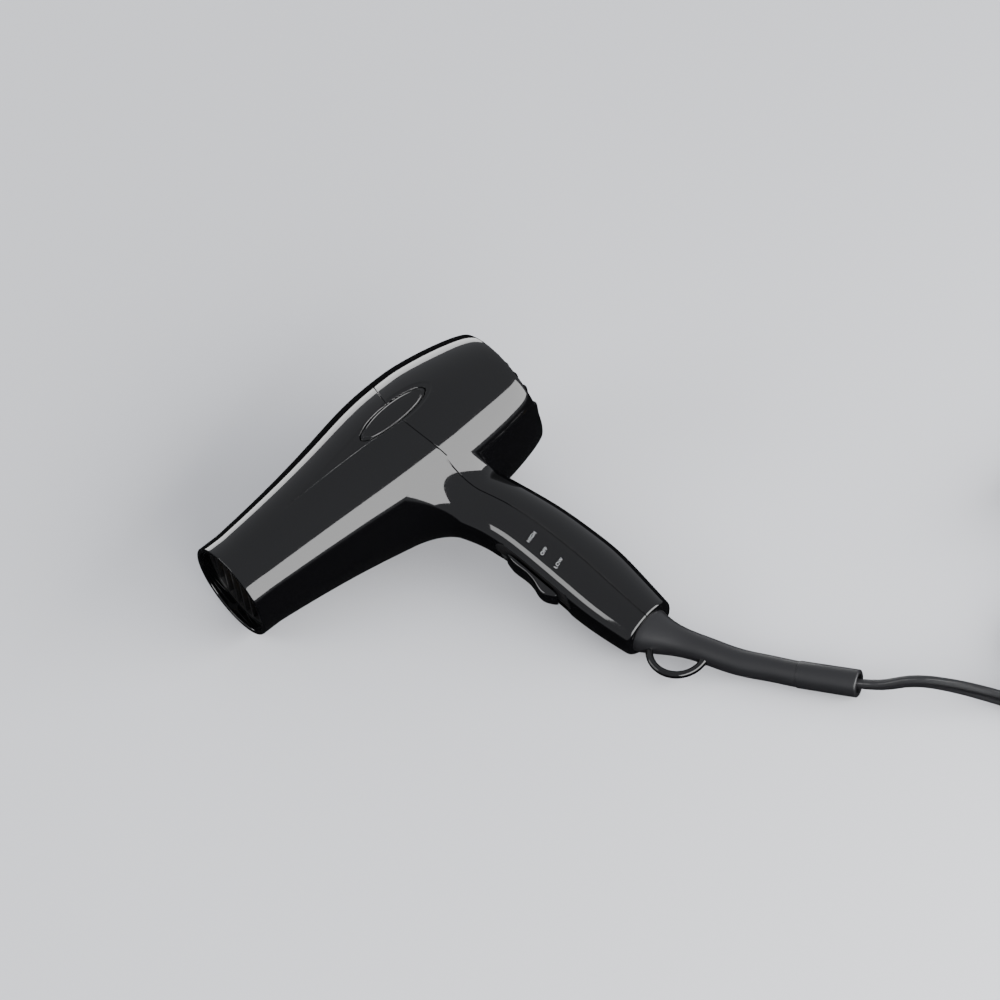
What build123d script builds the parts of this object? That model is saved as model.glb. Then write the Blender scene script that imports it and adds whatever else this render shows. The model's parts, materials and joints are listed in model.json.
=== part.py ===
from build123d import *

import math
import os

# Travel hair dryer at rest on its right side, with its mains cord wound up beside it. Millimetres.
# The dryer is drawn upright: X runs along the barrel from the nozzle (-) to the air inlet (+), the
# handle drops along -Y, +Z is its left side, and the origin is on the barrel axis at the seam.
# At the end every piece is laid on its side: Z = 0 is then the surface it rests on.

# ---- barrel ----
front_length = 114.5  # seam to nozzle face
rear_length = 49.5  # seam to rear rim
nozzle_radius = 24.5
nozzle_seat_length = 11.0  # straight stretch that a push-on nozzle grips
belly_radius = 38.2  # widest radius
belly_setback = 5.5  # widest point, behind the seam
rear_radius = 29.8
shell_wall = 2.2
lip_reach = 3.0  # the rear shell's lip inside the front shell
lip_hold = 5.0  # the same lip's grip on its own shell
seam_bow = 9.0  # how far the seam bows forward on the barrel's sides
fit_gap = 0.1  # clearance of a fixed fit, per side
slide_gap = 0.08  # clearance of a sliding fit, per side
leaf_gap = 0.3  # air between curved skins of neighbouring bodies

# ---- handle ----
handle_depth = 150.0  # barrel axis to the handle's end
handle_width = 37.8  # widest, seen from the side
handle_thickness = 28.0  # widest, seen from the front
handle_offset = 10.0  # how far the handle's middle stands behind the seam
end_tilt = 8.2  # slope of the handle's end face, degrees
end_rim = 2.0  # rounding of the handle's end
end_wall = 3.0
# Share of the handle's depth, of its offset, of its half width and of its half thickness.
handle_stations = [
    (0.29, -0.10, 1.02, 1.06),
    (0.40, 0.44, 0.95, 1.00),
    (0.51, 0.74, 0.965, 1.00),
    (0.62, 0.90, 0.99, 1.00),
    (0.73, 1.00, 1.00, 1.00),
    (0.84, 1.03, 0.95, 0.97),
    (0.95, 1.10, 0.85, 0.90),
    (1.06, 1.20, 0.73, 0.81),
]
# The same for the flare that blends the handle into the barrel.
flare_stations = [
    (0.180, -0.90, 1.55, 1.90),
    (0.217, -0.60, 1.34, 1.48),
    (0.253, -0.34, 1.16, 1.20),
    handle_stations[0],
]

# ---- oval inlays on the barrel's sides ----
inlay_length = 38.5
inlay_height = 11.6
inlay_setback = -9.6
inlay_rise = 2.2
inlay_sink = 0.6

# ---- grilles and screen ----
outlet_depth = 5.5  # nozzle face to the outlet grille
outlet_bars = 7
outlet_pitch = 5.7
outlet_bar = 1.0
outlet_thickness = 4.0
grille_thickness = 4.0
grille_bars = 9
grille_pitch = 6.0
grille_bar = 2.8
grille_proud = 2.5  # the bars stand out of the rear rim
ring_width = 1.4
screen_thickness = 0.4
screen_hole = 1.5

# ---- switch ----
switch_depth = 92.0  # barrel axis to the middle of the switch
switch_travel = 6.0  # each way from OFF
knob_length = 33.0
knob_width = 9.6
knob_height = 3.6
surround_length = 52.0
surround_width = 12.5
surround_sink = 1.9
knob_gap = 1.15  # under the knob at rest; the surround rises towards its ends
stem_length = 12.0
stem_width = 6.0
plate_thickness = 1.6
switch_body_length = 34.0
switch_body_width = 15.0
switch_body_depth = 12.0
blade_terminal = 4.0

# ---- fan, motor and duct ----
duct_air = 3.6  # between the belly's inner wall and the duct
duct_wall = 1.0
duct_front = -4.0
duct_rear = 30.0
fan_tip_gap = 0.8
fan_front = 13.5
fan_depth = 13.0
fan_hub_radius = 11.0
fan_blades = 7
blade_pitch_angle = 38.0
blade_thickness = 1.4
motor_radius = 13.9
motor_length = 26.0
motor_rear = 9.0
can_wall = 0.9
cap_depth = 4.0
shaft_radius = 1.15
bush_radius = 3.0
bush_length = 3.0
magnet_thickness = 2.6
air_gap = 0.5
stator_vanes = 6

# ---- heater ----
heater_wall = 0.5
heater_rear = -24.0
board_thickness = 0.7
board_front_gap = 7.0  # heater tube's front to the boards
board_rear_gap = 8.0  # boards to the heater tube's rear
coil_radius = 16.0
coil_wire = 1.4  # radius of the coiled strip
coil_pitch = 7.0
high_turns = 5
low_turns = 2

# ---- cord sleeve ----
sleeve_seat_radius = 9.2
sleeve_tip_radius = 5.6
collar_length = 28.0
collar_radius = 6.5
loop_wire = 1.75
loop_radius = 12.6
cord_width = 8.4
cord_thickness = 4.2

# ---- coil and plug ----
coil_mid_radius = 43.0
coil_turns_across = 3
coil_layers = 2
turn_gap = 0.2
plug_length = 44.0
plug_width = 32.0
plug_height = 27.0
plug_wall = 2.0
plug_face = 3.0
plug_corner = 4.0
blade_length = 16.0
blade_width = 6.3
blade_thick = 1.5
blade_spacing = 12.7
button_length = 9.0
button_width = 6.0
button_travel = 1.2
button_proud = 1.6
relief_length = 26.0

# ---- fasteners ----
screw_radius = 1.5
screw_head_radius = 2.8
screw_head_height = 2.0
boss_radius = 4.0
boss_depths = (0.40, 0.81)  # share of the handle's depth

nozzle_x = -front_length
duct_radius = belly_radius - shell_wall - duct_air
heater_radius = nozzle_radius - shell_wall - fit_gap
seat_x = nozzle_x + nozzle_seat_length
handle_half = handle_width / 2
handle_edge = handle_thickness / 2


# ---------------------------------------------------------------- shared outlines


def barrel_skin(inset):
    """The barrel's half outline from nozzle face to rear rim, drawn inset below its surface."""
    nozzle = nozzle_radius - inset
    belly = belly_radius - inset
    rear = rear_radius - inset
    flare = belly_setback - seat_x
    crown = rear_length - belly_setback
    Line((nozzle_x, nozzle), (seat_x, nozzle))
    Bezier(
        (seat_x, nozzle),
        (seat_x + 0.66 * flare, nozzle + 0.06 * flare),
        (belly_setback - 0.34 * flare, belly),
        (belly_setback, belly),
    )
    Bezier(
        (belly_setback, belly),
        (belly_setback + 0.36 * crown, belly),
        (rear_length - 0.05 * crown, rear + 0.06 * crown),
        (rear_length, rear),
    )


def barrel_solid(inset):
    """The barrel turned about its axis, inset below its surface."""
    with BuildSketch() as half:
        with BuildLine():
            barrel_skin(inset)
            Polyline(
                (rear_length, rear_radius - inset),
                (rear_length, 0),
                (nozzle_x, 0),
                (nozzle_x, nozzle_radius - inset),
            )
        make_face()
    revolve(half.sketch, axis=Axis.X)


def station(share):
    """Middle, half width and half thickness of the handle at a share of its depth."""
    below = [s for s in handle_stations if s[0] <= share][-1]
    above = [s for s in handle_stations if s[0] > share][0]
    t = (share - below[0]) / (above[0] - below[0])
    offset, width, thickness = (b + t * (a - b) for b, a in zip(below[1:], above[1:]))
    return offset * handle_offset, width * handle_half, thickness * handle_edge


def handle_solid(inset, end_inset):
    """The flare and the handle lofted down their stations and cut at the tilted end face."""
    for stations in (flare_stations, handle_stations):
        sections = []
        for depth, offset, width, thickness in stations:
            middle = (offset * handle_offset, -depth * handle_depth, 0)
            level = Plane(middle, x_dir=(1, 0, 0), z_dir=(0, -1, 0))
            with BuildSketch(level) as section:
                Ellipse(width * handle_half - inset, thickness * handle_edge - inset)
            sections.append(section.sketch)
        loft(sections)
    split(bisect_by=end_plane.offset(-end_inset), keep=Keep.BOTTOM)


end_middle = station(1.0)[0]
end_out = Vector(
    math.sin(math.radians(end_tilt)), -math.cos(math.radians(end_tilt)), 0
)
end_plane = Plane((end_middle, -handle_depth, 0), x_dir=(0, 0, 1), z_dir=end_out)

with BuildPart() as handle_outside:
    handle_solid(0, 0)
    fillet(handle_outside.faces().sort_by(Axis.Y)[0].edges(), end_rim)

with BuildPart() as handle_inside:
    handle_solid(shell_wall, end_wall)

with BuildPart() as barrel_outside:
    barrel_solid(0)

with BuildPart() as barrel_inside:
    barrel_solid(shell_wall)

# The front shell lies ahead of the seam. On the barrel the seam bows forward with the cube of
# the distance to the left or right; below it runs on down the middle of the handle.
parting_top = 2 * belly_radius
parting_turn = belly_radius - 4
parting_shares = (0.33, 0.40, 0.51, 0.73, 1.0)
zone_front = nozzle_x - 20
zone_end = -handle_depth - 20
bow_shares = (-1.0, -0.8, -0.6, -0.4, 0.0, 0.4, 0.6, 0.8, 1.0)

with BuildPart() as front_zone:
    with BuildSketch(Plane.XZ.offset(parting_turn)):
        with BuildLine():
            # This plane's own axes are the barrel's X and Z.
            bow = [
                (-seam_bow * abs(share) ** 3, share * belly_radius) for share in bow_shares
            ]
            Spline(*bow)
            Polyline(
                bow[-1],
                (bow[-1][0], parting_top),
                (zone_front, parting_top),
                (zone_front, -parting_top),
                (bow[0][0], -parting_top),
                bow[0],
            )
        make_face()
    extrude(amount=-(parting_top + parting_turn))
    with BuildSketch(Plane.XY.offset(-2 * belly_radius)):
        with BuildLine():
            seam_points = [(station(s)[0], -s * handle_depth) for s in parting_shares]
            Spline((0, -parting_turn), *seam_points)
            Polyline(
                seam_points[-1],
                (seam_points[-1][0] + 2, zone_end),
                (zone_front, zone_end),
                (zone_front, -parting_turn),
                (0, -parting_turn),
            )
        make_face()
    extrude(amount=4 * belly_radius)


# ---------------------------------------------------------------- shells

switch_middle = station(switch_depth / handle_depth)
switch_step = 10.0
upper_front = station((switch_depth - switch_step) / handle_depth)
lower_front = station((switch_depth + switch_step) / handle_depth)
front_lean = (lower_front[0] - lower_front[1]) - (upper_front[0] - upper_front[1])
slide_dir = Vector(front_lean, -2 * switch_step, 0).normalized()
switch_out = Vector(slide_dir.Y, -slide_dir.X, 0)
switch_origin = Vector(switch_middle[0] - switch_middle[1], -switch_depth, 0)
# Seen from the front of the handle: local x runs down it, local z stands out of it.
switch_face = Plane(switch_origin, x_dir=slide_dir, z_dir=switch_out)
# Seen from the side: local x runs down the handle, local y stands out of it.
switch_side = Plane(switch_origin, x_dir=slide_dir, z_dir=(0, 0, -1))
body_top = -surround_sink - shell_wall - 1.6 - plate_thickness

boss_middles = [
    (station(share)[0], -share * handle_depth, 0) for share in boss_depths
]
boss_widths = [station(share)[1] for share in boss_depths]
boss_planes = [Plane(middle, x_dir=(0, 1, 0), z_dir=(1, 0, 0)) for middle in boss_middles]

sleeve_seat = end_plane.offset(-end_wall)
clamp_depth = handle_depth - 14
clamp_x = station(clamp_depth / handle_depth)[0]
clamp_post_radius = 2.2
clamp_post_spread = cord_width / 2 + clamp_post_radius + 0.4
clamp_face = Plane(
    (clamp_x + cord_thickness / 2, -clamp_depth, 0), x_dir=(0, 0, 1), z_dir=(1, 0, 0)
)

with BuildPart() as shell:
    add(barrel_outside.part)
    add(handle_outside.part)
    add(barrel_inside.part, mode=Mode.SUBTRACT)
    add(handle_inside.part, mode=Mode.SUBTRACT)
    # Oval windows that hold the side inlays.
    with BuildSketch(Plane.XY.offset(-2 * belly_radius)):
        with Locations((inlay_setback, inlay_rise)):
            Ellipse(inlay_length / 2, inlay_height / 2)
    extrude(amount=4 * belly_radius, mode=Mode.SUBTRACT)
    # Mouth for the cord sleeve in the handle's end.
    with BuildSketch(sleeve_seat):
        Circle(sleeve_seat_radius)
    extrude(amount=2 * end_wall, mode=Mode.SUBTRACT)

with BuildPart() as window_band:
    with BuildSketch(Plane.XY.offset(-2 * belly_radius)):
        with Locations((inlay_setback, inlay_rise)):
            Ellipse(inlay_length / 2, inlay_height / 2)
    extrude(amount=4 * belly_radius)
    add(barrel_inside.part, mode=Mode.SUBTRACT)

# Lip that lines up the two shells and holds the duct.
lip_zone = Plane.YZ.offset(-lip_reach)

with BuildPart() as lip:
    barrel_solid(shell_wall + fit_gap)
    with BuildSketch(lip_zone):
        Circle(2 * belly_radius)
    extrude(amount=lip_reach, mode=Mode.INTERSECT)
    with BuildSketch(Plane.YZ):
        Circle(belly_radius - shell_wall / 2)
    extrude(amount=lip_hold)
    with BuildSketch(lip_zone):
        Circle(duct_radius + fit_gap)
    extrude(amount=lip_reach + lip_hold, mode=Mode.SUBTRACT)
    add(handle_inside.part, mode=Mode.SUBTRACT)
    add(window_band.part, mode=Mode.SUBTRACT)

with BuildPart() as front_housing:
    add(shell.part)
    add(front_zone.part, mode=Mode.INTERSECT)
    for level, half in zip(boss_planes, boss_widths):
        with BuildSketch(level):
            Circle(boss_radius - 0.5)
        extrude(amount=-(half - shell_wall / 2))
        with BuildSketch(level):
            Circle(screw_radius)
        extrude(amount=-(half - 2 * shell_wall), mode=Mode.SUBTRACT)
    # Posts that the cord clamp is screwed to.
    with BuildSketch(clamp_face):
        with Locations((-clamp_post_spread, 0), (clamp_post_spread, 0)):
            Circle(clamp_post_radius)
            Circle(screw_radius - 0.4, mode=Mode.SUBTRACT)
    extrude(until=Until.NEXT, dir=(-1, 0, 0))
    # Window for the switch surround.
    with BuildSketch(switch_face.offset(4)):
        SlotOverall(surround_length, surround_width)
    extrude(amount=-14, mode=Mode.SUBTRACT)

with BuildPart() as rear_housing:
    add(shell.part)
    add(front_zone.part, mode=Mode.SUBTRACT)
    add(lip.part)
    for level, half in zip(boss_planes, boss_widths):
        with BuildSketch(level):
            Circle(boss_radius)
        extrude(amount=half - shell_wall / 2)
        with BuildSketch(level):
            Circle(screw_radius + fit_gap)
        extrude(amount=2 * half, mode=Mode.SUBTRACT)
        with BuildSketch(level.offset(half - screw_head_height - 1.2)):
            Circle(screw_head_radius + fit_gap)
        extrude(amount=half, mode=Mode.SUBTRACT)


# ---------------------------------------------------------------- trims and grilles

with BuildPart() as inlay_band:
    barrel_solid(inlay_sink)
    add(barrel_inside.part, mode=Mode.SUBTRACT)


def side_inlay(side):
    """The oval inlay of one side (+1 left, -1 right), sunk below the barrel's skin."""
    with BuildPart() as inlay:
        add(inlay_band.part)
        with BuildSketch(Plane.XY) as oval:
            with Locations((inlay_setback, inlay_rise)):
                Ellipse(inlay_length / 2 - fit_gap, inlay_height / 2 - fit_gap)
        extrude(oval.sketch, amount=side * 2 * belly_radius, mode=Mode.INTERSECT)
    return inlay


side_inlay_left = side_inlay(1)
side_inlay_right = side_inlay(-1)

# Outlet grille: a ring across the nozzle with upright bars.
outlet_radius = nozzle_radius - shell_wall - fit_gap
outlet_front = nozzle_x + outlet_depth

with BuildPart() as outlet_grille:
    with BuildSketch(Plane.YZ.offset(outlet_front)):
        Circle(outlet_radius)
        Circle(outlet_radius - ring_width, mode=Mode.SUBTRACT)
    extrude(amount=outlet_thickness)
    with BuildSketch(Plane.YZ.offset(outlet_front)):
        with GridLocations(outlet_pitch, 1, outlet_bars, 1):
            Rectangle(outlet_bar, 2 * outlet_radius)
        Circle(outlet_radius - ring_width / 2, mode=Mode.INTERSECT)
    extrude(amount=outlet_thickness)

# Rear grille: a ring in the rear rim with bars that stand out of it.
grille_radius = rear_radius - shell_wall - fit_gap
grille_front = rear_length - grille_thickness

with BuildPart() as rear_grille:
    with BuildSketch(Plane.YZ.offset(grille_front)):
        Circle(grille_radius)
        Circle(grille_radius - 2 * ring_width, mode=Mode.SUBTRACT)
    extrude(amount=grille_thickness)
    for row in range(grille_bars):
        across = (row - (grille_bars - 1) / 2) * grille_pitch
        half_chord = math.sqrt(grille_radius**2 - (abs(across) + grille_bar / 2) ** 2)
        with BuildSketch(Plane.YZ.offset(grille_front)):
            with Locations((across, 0)):
                SlotOverall(2 * half_chord - ring_width, grille_bar, rotation=90)
        extrude(amount=grille_thickness + grille_proud)

with BuildPart() as lint_screen:
    with BuildSketch(Plane.YZ.offset(grille_front - screen_thickness)):
        Circle(grille_radius)
        with HexLocations(screen_hole + 0.5, 11, 11):
            Circle(screen_hole, mode=Mode.SUBTRACT)
    extrude(amount=screen_thickness)

# ---------------------------------------------------------------- switch

surround_floor = surround_sink + shell_wall

with BuildPart() as surround_band:
    handle_solid(surround_sink, end_wall)

with BuildPart() as surround_core:
    handle_solid(surround_floor, end_wall)

with BuildPart() as switch_surround:
    add(surround_band.part)
    add(surround_core.part, mode=Mode.SUBTRACT)
    with BuildSketch(switch_face.offset(4)):
        SlotOverall(surround_length - 2 * fit_gap, surround_width - 2 * fit_gap)
    extrude(amount=-14, mode=Mode.INTERSECT)
    with BuildSketch(switch_face.offset(4)):
        Rectangle(
            stem_length + 2 * (switch_travel + slide_gap + 0.3),
            stem_width + 2 * slide_gap,
        )
    extrude(amount=-14, mode=Mode.SUBTRACT)

knob_bottom = knob_gap - surround_sink
half_knob = knob_length / 2

with BuildPart() as switch_knob:
    with BuildSketch(switch_side):
        with BuildLine():
            Polyline(
                (-half_knob, knob_bottom + 1.2),
                (-half_knob, knob_bottom),
                (half_knob, knob_bottom),
                (half_knob, knob_bottom + 1.4),
            )
            Spline(
                (half_knob, knob_bottom + 1.4),
                (0.64 * half_knob, knob_height),
                (0.24 * half_knob, 0.62 * knob_height),
                (-0.20 * half_knob, 0.30 * knob_height),
                (-0.60 * half_knob, 0.42 * knob_height),
                (-half_knob, knob_bottom + 1.2),
            )
        make_face()
    extrude(amount=knob_width / 2, both=True)
    # Stem through the surround, down to the plate.
    with BuildSketch(switch_face.offset(knob_bottom)):
        Rectangle(stem_length, stem_width)
    extrude(amount=-(knob_bottom - body_top - plate_thickness))

with BuildPart() as switch_carriage:
    with BuildSketch(switch_face.offset(body_top + slide_gap)):
        Rectangle(stem_length + 8, stem_width + 3)
    extrude(amount=plate_thickness - slide_gap)

with BuildPart() as switch_body:
    with BuildSketch(switch_face.offset(body_top)):
        Rectangle(switch_body_length, switch_body_width)
    extrude(amount=-switch_body_depth)
    # Slot that the contact bridge runs in.
    with BuildSketch(switch_face.offset(body_top)):
        Rectangle(stem_length + 2 * (switch_travel + 0.5), stem_width)
    extrude(amount=-switch_body_depth / 2, mode=Mode.SUBTRACT)

terminal_level = body_top - switch_body_depth
terminal_spots = [(-12, -4), (-12, 4), (12, -4), (12, 4)]

with BuildPart() as switch_terminals:
    with BuildSketch(switch_face.offset(terminal_level)):
        with Locations(*terminal_spots):
            Rectangle(blade_terminal, 0.8)
    extrude(amount=-blade_terminal)

# ---------------------------------------------------------------- fan, motor and duct

duct_bore = duct_radius - duct_wall
tip_radius = duct_bore - fan_tip_gap
fan_middle = fan_front + fan_depth / 2
fan_rear = fan_front + fan_depth
motor_front = motor_rear - motor_length
cap_front = motor_front - cap_depth
can_bore = motor_radius - can_wall
rotor_radius = can_bore - magnet_thickness - air_gap
hub_wall = 1.2
seat_length = 6.0
cone_wall = 1.2

with BuildPart() as motor_mount:
    # Duct ring, cone and the seat of the heater tube in one turned shell.
    with BuildSketch():
        with BuildLine():
            Polyline(
                (duct_rear, duct_radius),
                (duct_rear, duct_bore),
                (duct_front, duct_bore),
                (heater_rear, heater_radius - heater_wall),
                (heater_rear, heater_radius),
                (heater_rear - seat_length, heater_radius),
                (heater_rear - seat_length, heater_radius + cone_wall),
                (heater_rear, heater_radius + cone_wall),
                (duct_front, duct_radius),
                (duct_rear, duct_radius),
            )
        make_face()
    revolve(axis=Axis.X)
    # Hub that grips the motor, on stator vanes.
    with BuildSketch(Plane.YZ.offset(duct_front)):
        Circle(motor_radius + hub_wall)
    extrude(amount=motor_rear - duct_front - 2)
    vane_span = duct_bore - motor_radius
    with Locations(Plane.YZ.offset((duct_front + motor_rear - 2) / 2)):
        with PolarLocations(motor_radius + vane_span / 2, stator_vanes):
            Box(vane_span + 1, hub_wall, motor_rear - duct_front - 4)
    with BuildSketch(Plane.YZ.offset(duct_front)):
        Circle(motor_radius)
    extrude(amount=motor_length, mode=Mode.SUBTRACT)

with BuildPart() as fan_envelope:
    with BuildSketch(Plane.YZ.offset(fan_front)):
        Circle(tip_radius)
    extrude(amount=fan_depth)

with BuildPart() as fan_impeller:
    blade_root = fan_hub_radius - 1
    blade_span = tip_radius + 2 - blade_root
    with Locations(Plane.YZ.offset(fan_middle)):
        with PolarLocations(blade_root + blade_span / 2, fan_blades):
            Box(blade_span, fan_depth, blade_thickness, rotation=(blade_pitch_angle, 0, 0))
    add(fan_envelope.part, mode=Mode.INTERSECT)
    with BuildSketch(Plane.YZ.offset(fan_front)):
        Circle(fan_hub_radius)
    extrude(amount=fan_depth)
    with BuildSketch(Plane.YZ.offset(fan_front)):
        Circle(shaft_radius)
    extrude(amount=fan_depth, mode=Mode.SUBTRACT)

with BuildPart() as motor_shaft:
    with BuildSketch(Plane.YZ.offset(cap_front - 1)):
        Circle(shaft_radius)
    extrude(amount=fan_rear + 1 - cap_front + 1)

with BuildPart() as motor_can:
    with BuildSketch(Plane.YZ.offset(motor_front)):
        Circle(motor_radius)
    extrude(amount=motor_length)
    with BuildSketch(Plane.YZ.offset(motor_front)):
        Circle(can_bore)
    extrude(amount=motor_length - can_wall, mode=Mode.SUBTRACT)
    with BuildSketch(Plane.YZ.offset(motor_front)):
        Circle(bush_radius)
    extrude(amount=motor_length, mode=Mode.SUBTRACT)

with BuildPart() as motor_end_cap:
    with BuildSketch(Plane.YZ.offset(cap_front)):
        Circle(motor_radius)
        Circle(bush_radius, mode=Mode.SUBTRACT)
    extrude(amount=cap_depth)

with BuildPart() as motor_bushes:
    for start in (cap_front, motor_rear - bush_length):
        with BuildSketch(Plane.YZ.offset(start)):
            Circle(bush_radius)
            Circle(shaft_radius + slide_gap, mode=Mode.SUBTRACT)
        extrude(amount=bush_length)

magnet_front = motor_front + 3
magnet_length = motor_length - can_wall - 3 - 3

with BuildPart() as motor_magnets:
    with BuildSketch(Plane.YZ.offset(magnet_front)):
        Circle(can_bore)
        Circle(can_bore - magnet_thickness, mode=Mode.SUBTRACT)
        Rectangle(2 * motor_radius, can_bore, mode=Mode.SUBTRACT)
    extrude(amount=magnet_length)

commutator_length = 3.5
commutator_radius = 3.8
rotor_slots = 5

with BuildPart() as motor_rotor:
    with BuildSketch(Plane.YZ.offset(magnet_front + 1)):
        Circle(rotor_radius)
        with PolarLocations(rotor_radius, rotor_slots):
            Rectangle(rotor_radius, 1.6, mode=Mode.SUBTRACT)
        Circle(shaft_radius, mode=Mode.SUBTRACT)
    extrude(amount=magnet_length - 2)

with BuildPart() as motor_commutator:
    with BuildSketch(Plane.YZ.offset(magnet_front + 1 - commutator_length)):
        Circle(commutator_radius)
        Circle(shaft_radius, mode=Mode.SUBTRACT)
    extrude(amount=commutator_length)

diode_radius = 1.35
diode_length = 5.2

with BuildPart() as rectifier_diodes:
    with BuildSketch(Plane.YZ.offset(cap_front - diode_length)):
        with GridLocations(12, 12, 2, 2):
            Circle(diode_radius)
    extrude(amount=diode_length)

# ---------------------------------------------------------------- heater

tube_front = outlet_front + outlet_thickness
tube_bore = heater_radius - heater_wall
board_width = 2 * (tube_bore - fit_gap)
board_front = tube_front + board_front_gap
board_rear = heater_rear - board_rear_gap
board_length = board_rear - board_front
board_middle = (board_front + board_rear) / 2
board_slot = board_thickness + 2 * fit_gap
turn_places = [
    board_front + 8 + turn * coil_pitch for turn in range(high_turns + low_turns)
]

with BuildPart() as heater_tube:
    with BuildSketch(Plane.YZ.offset(tube_front)):
        Circle(heater_radius)
        Circle(tube_bore, mode=Mode.SUBTRACT)
    extrude(amount=heater_rear - tube_front)


def heater_board(width, height, slot_width, slot_height, slot_middle):
    """A mica sheet along the barrel, slotted for its partner and pierced for the coil."""
    with BuildPart() as board:
        with Locations((board_middle, 0, 0)):
            Box(board_length, width, height)
        with Locations((slot_middle, 0, 0)):
            Box(board_length / 2, slot_width, slot_height, mode=Mode.SUBTRACT)
        for place in turn_places:
            with Locations((place, 0, 0)):
                Torus(
                    coil_radius,
                    coil_wire + fit_gap,
                    rotation=(0, 90, 0),
                    mode=Mode.SUBTRACT,
                )
    return board


quarter = board_length / 4
mica_board_upright = heater_board(
    board_thickness, board_width, board_slot, board_slot, board_middle - quarter
)
mica_board_level = heater_board(
    board_width, board_thickness, board_slot, board_slot, board_middle + quarter
)

with BuildPart() as heater_coil_high:
    for place in turn_places[:high_turns]:
        with Locations((place, 0, 0)):
            Torus(coil_radius, coil_wire, rotation=(0, 90, 0))

with BuildPart() as heater_coil_low:
    for place in turn_places[high_turns:]:
        with Locations((place, 0, 0)):
            Torus(coil_radius, coil_wire, rotation=(0, 90, 0))

guard_x = board_rear - 7
thermostat_size = (8.0, 3.4, 5.0)
fuse_radius = 1.4
fuse_length = 9.0

with BuildPart() as thermostat:
    with Locations((guard_x, (board_thickness + thermostat_size[1]) / 2, 8)):
        Box(*thermostat_size)

with BuildPart() as thermal_fuse:
    with Locations((guard_x, -board_thickness / 2 - fuse_radius, -8)):
        Cylinder(fuse_radius, fuse_length, rotation=(0, 90, 0))

# ---------------------------------------------------------------- cord sleeve, loop and clamp

# The sleeve's axis from the handle's end, then its collar; it droops to the surface.
sleeve_offsets = [(10.7, -24.5, 0), (18.2, -42.3, 0.9), (26.4, -56.3, 2.0), (32.5, -67.3, 3.4)]
sleeve_start = Vector(end_middle, -handle_depth, 0)
sleeve_points = [sleeve_start + Vector(*offset) for offset in sleeve_offsets]
collar_dir = Vector(14.9, -23.0, 2.3).normalized()
collar_start = sleeve_points[-1]
# Share of the sleeve's length, half width across the handle and half thickness.
sleeve_sections = [
    (0.12, 8.5, 8.1),
    (0.25, 6.7, 6.6),
    (0.40, 6.3, 6.3),
    (0.55, 6.2, 6.2),
    (0.70, 6.1, 6.1),
    (0.85, 6.0, 6.0),
    (1.00, 6.0, 6.0),
]
sleeve_base = (11.6, 9.7)
flange_thickness = 2.0
circle_guard = 0.001  # keeps a round section an ellipse, so the loft joins like to like

with BuildLine() as sleeve_axis:
    Spline(sleeve_start, *sleeve_points, tangents=[(0.30, -0.95, 0), collar_dir])

axis_line = sleeve_axis.line
base_plane = Plane(sleeve_start, x_dir=(0, 0, 1), z_dir=end_out)
base_across = Vector(0, 0, 1).cross(end_out)
sleeve_outlines = []
with BuildSketch(Plane(sleeve_start, x_dir=base_across, z_dir=end_out)) as section:
    Ellipse(*sleeve_base)
sleeve_outlines.append(section.sketch)
for share, half_width, half_thickness in sleeve_sections:
    along = axis_line % share
    across = Vector(0, 0, 1).cross(along)
    with BuildSketch(Plane(axis_line @ share, x_dir=across, z_dir=along)) as section:
        Ellipse(half_width, half_thickness + circle_guard)
    sleeve_outlines.append(section.sketch)

tip_length = collar_length - 2
collar_plane = Plane(collar_start, x_dir=Vector(0, 0, 1).cross(collar_dir), z_dir=collar_dir)

with BuildPart() as cord_sleeve:
    loft(sleeve_outlines)
    # Neck through the handle's end wall and flange behind it.
    with BuildSketch(base_plane):
        Circle(sleeve_seat_radius - fit_gap)
    extrude(amount=-end_wall)
    with BuildSketch(base_plane.offset(-end_wall)):
        Circle(sleeve_seat_radius + 0.6)
    extrude(amount=-flange_thickness)
    with BuildSketch(collar_plane):
        Circle(sleeve_tip_radius)
    extrude(amount=tip_length)

with BuildPart() as sleeve_collar:
    with BuildSketch(collar_plane):
        Circle(collar_radius)
    extrude(amount=collar_length)
    with BuildSketch(collar_plane):
        Circle(sleeve_tip_radius)
    extrude(amount=tip_length, mode=Mode.SUBTRACT)
    with BuildSketch(collar_plane):
        Circle(cord_width / 2 + 2 * fit_gap)
    extrude(amount=collar_length, mode=Mode.SUBTRACT)

# Hang loop on the sleeve's front, in the dryer's middle plane.
loop_share = 0.36
loop_along = axis_line % loop_share
loop_front = Vector(loop_along.Y, -loop_along.X, 0).normalized()
loop_ends = [
    axis_line @ share + loop_front * (sleeve_sections[2][1] - 1.5) for share in (0.13, 0.47)
]
loop_middle = (loop_ends[0] + loop_ends[1]) / 2 + loop_front * loop_radius

with BuildPart() as hang_loop:
    with BuildLine() as loop_line:
        ThreePointArc(loop_ends[0], loop_middle, loop_ends[1])
    with BuildSketch(Plane(loop_line.line @ 0, z_dir=loop_line.line % 0)):
        Circle(loop_wire)
    sweep(path=loop_line.line)
    add(cord_sleeve.part, mode=Mode.SUBTRACT)

# Cord inside the handle: flat up to the clamp, then two cores round the screw boss.
split_depth = clamp_depth - 6
core_radius = 1.6
core_spread = boss_radius + core_radius + 0.6
flange_level = handle_depth - end_wall - flange_thickness - 1.5

with BuildPart() as inner_cord:
    with BuildSketch(Plane((clamp_x, -split_depth, 0), x_dir=(0, 0, 1), z_dir=(0, -1, 0))):
        SlotOverall(cord_width, cord_thickness)
    extrude(amount=flange_level + 3 - split_depth)
    add(cord_sleeve.part, mode=Mode.SUBTRACT)

core_end = switch_depth + switch_body_length / 2 + 1

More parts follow.
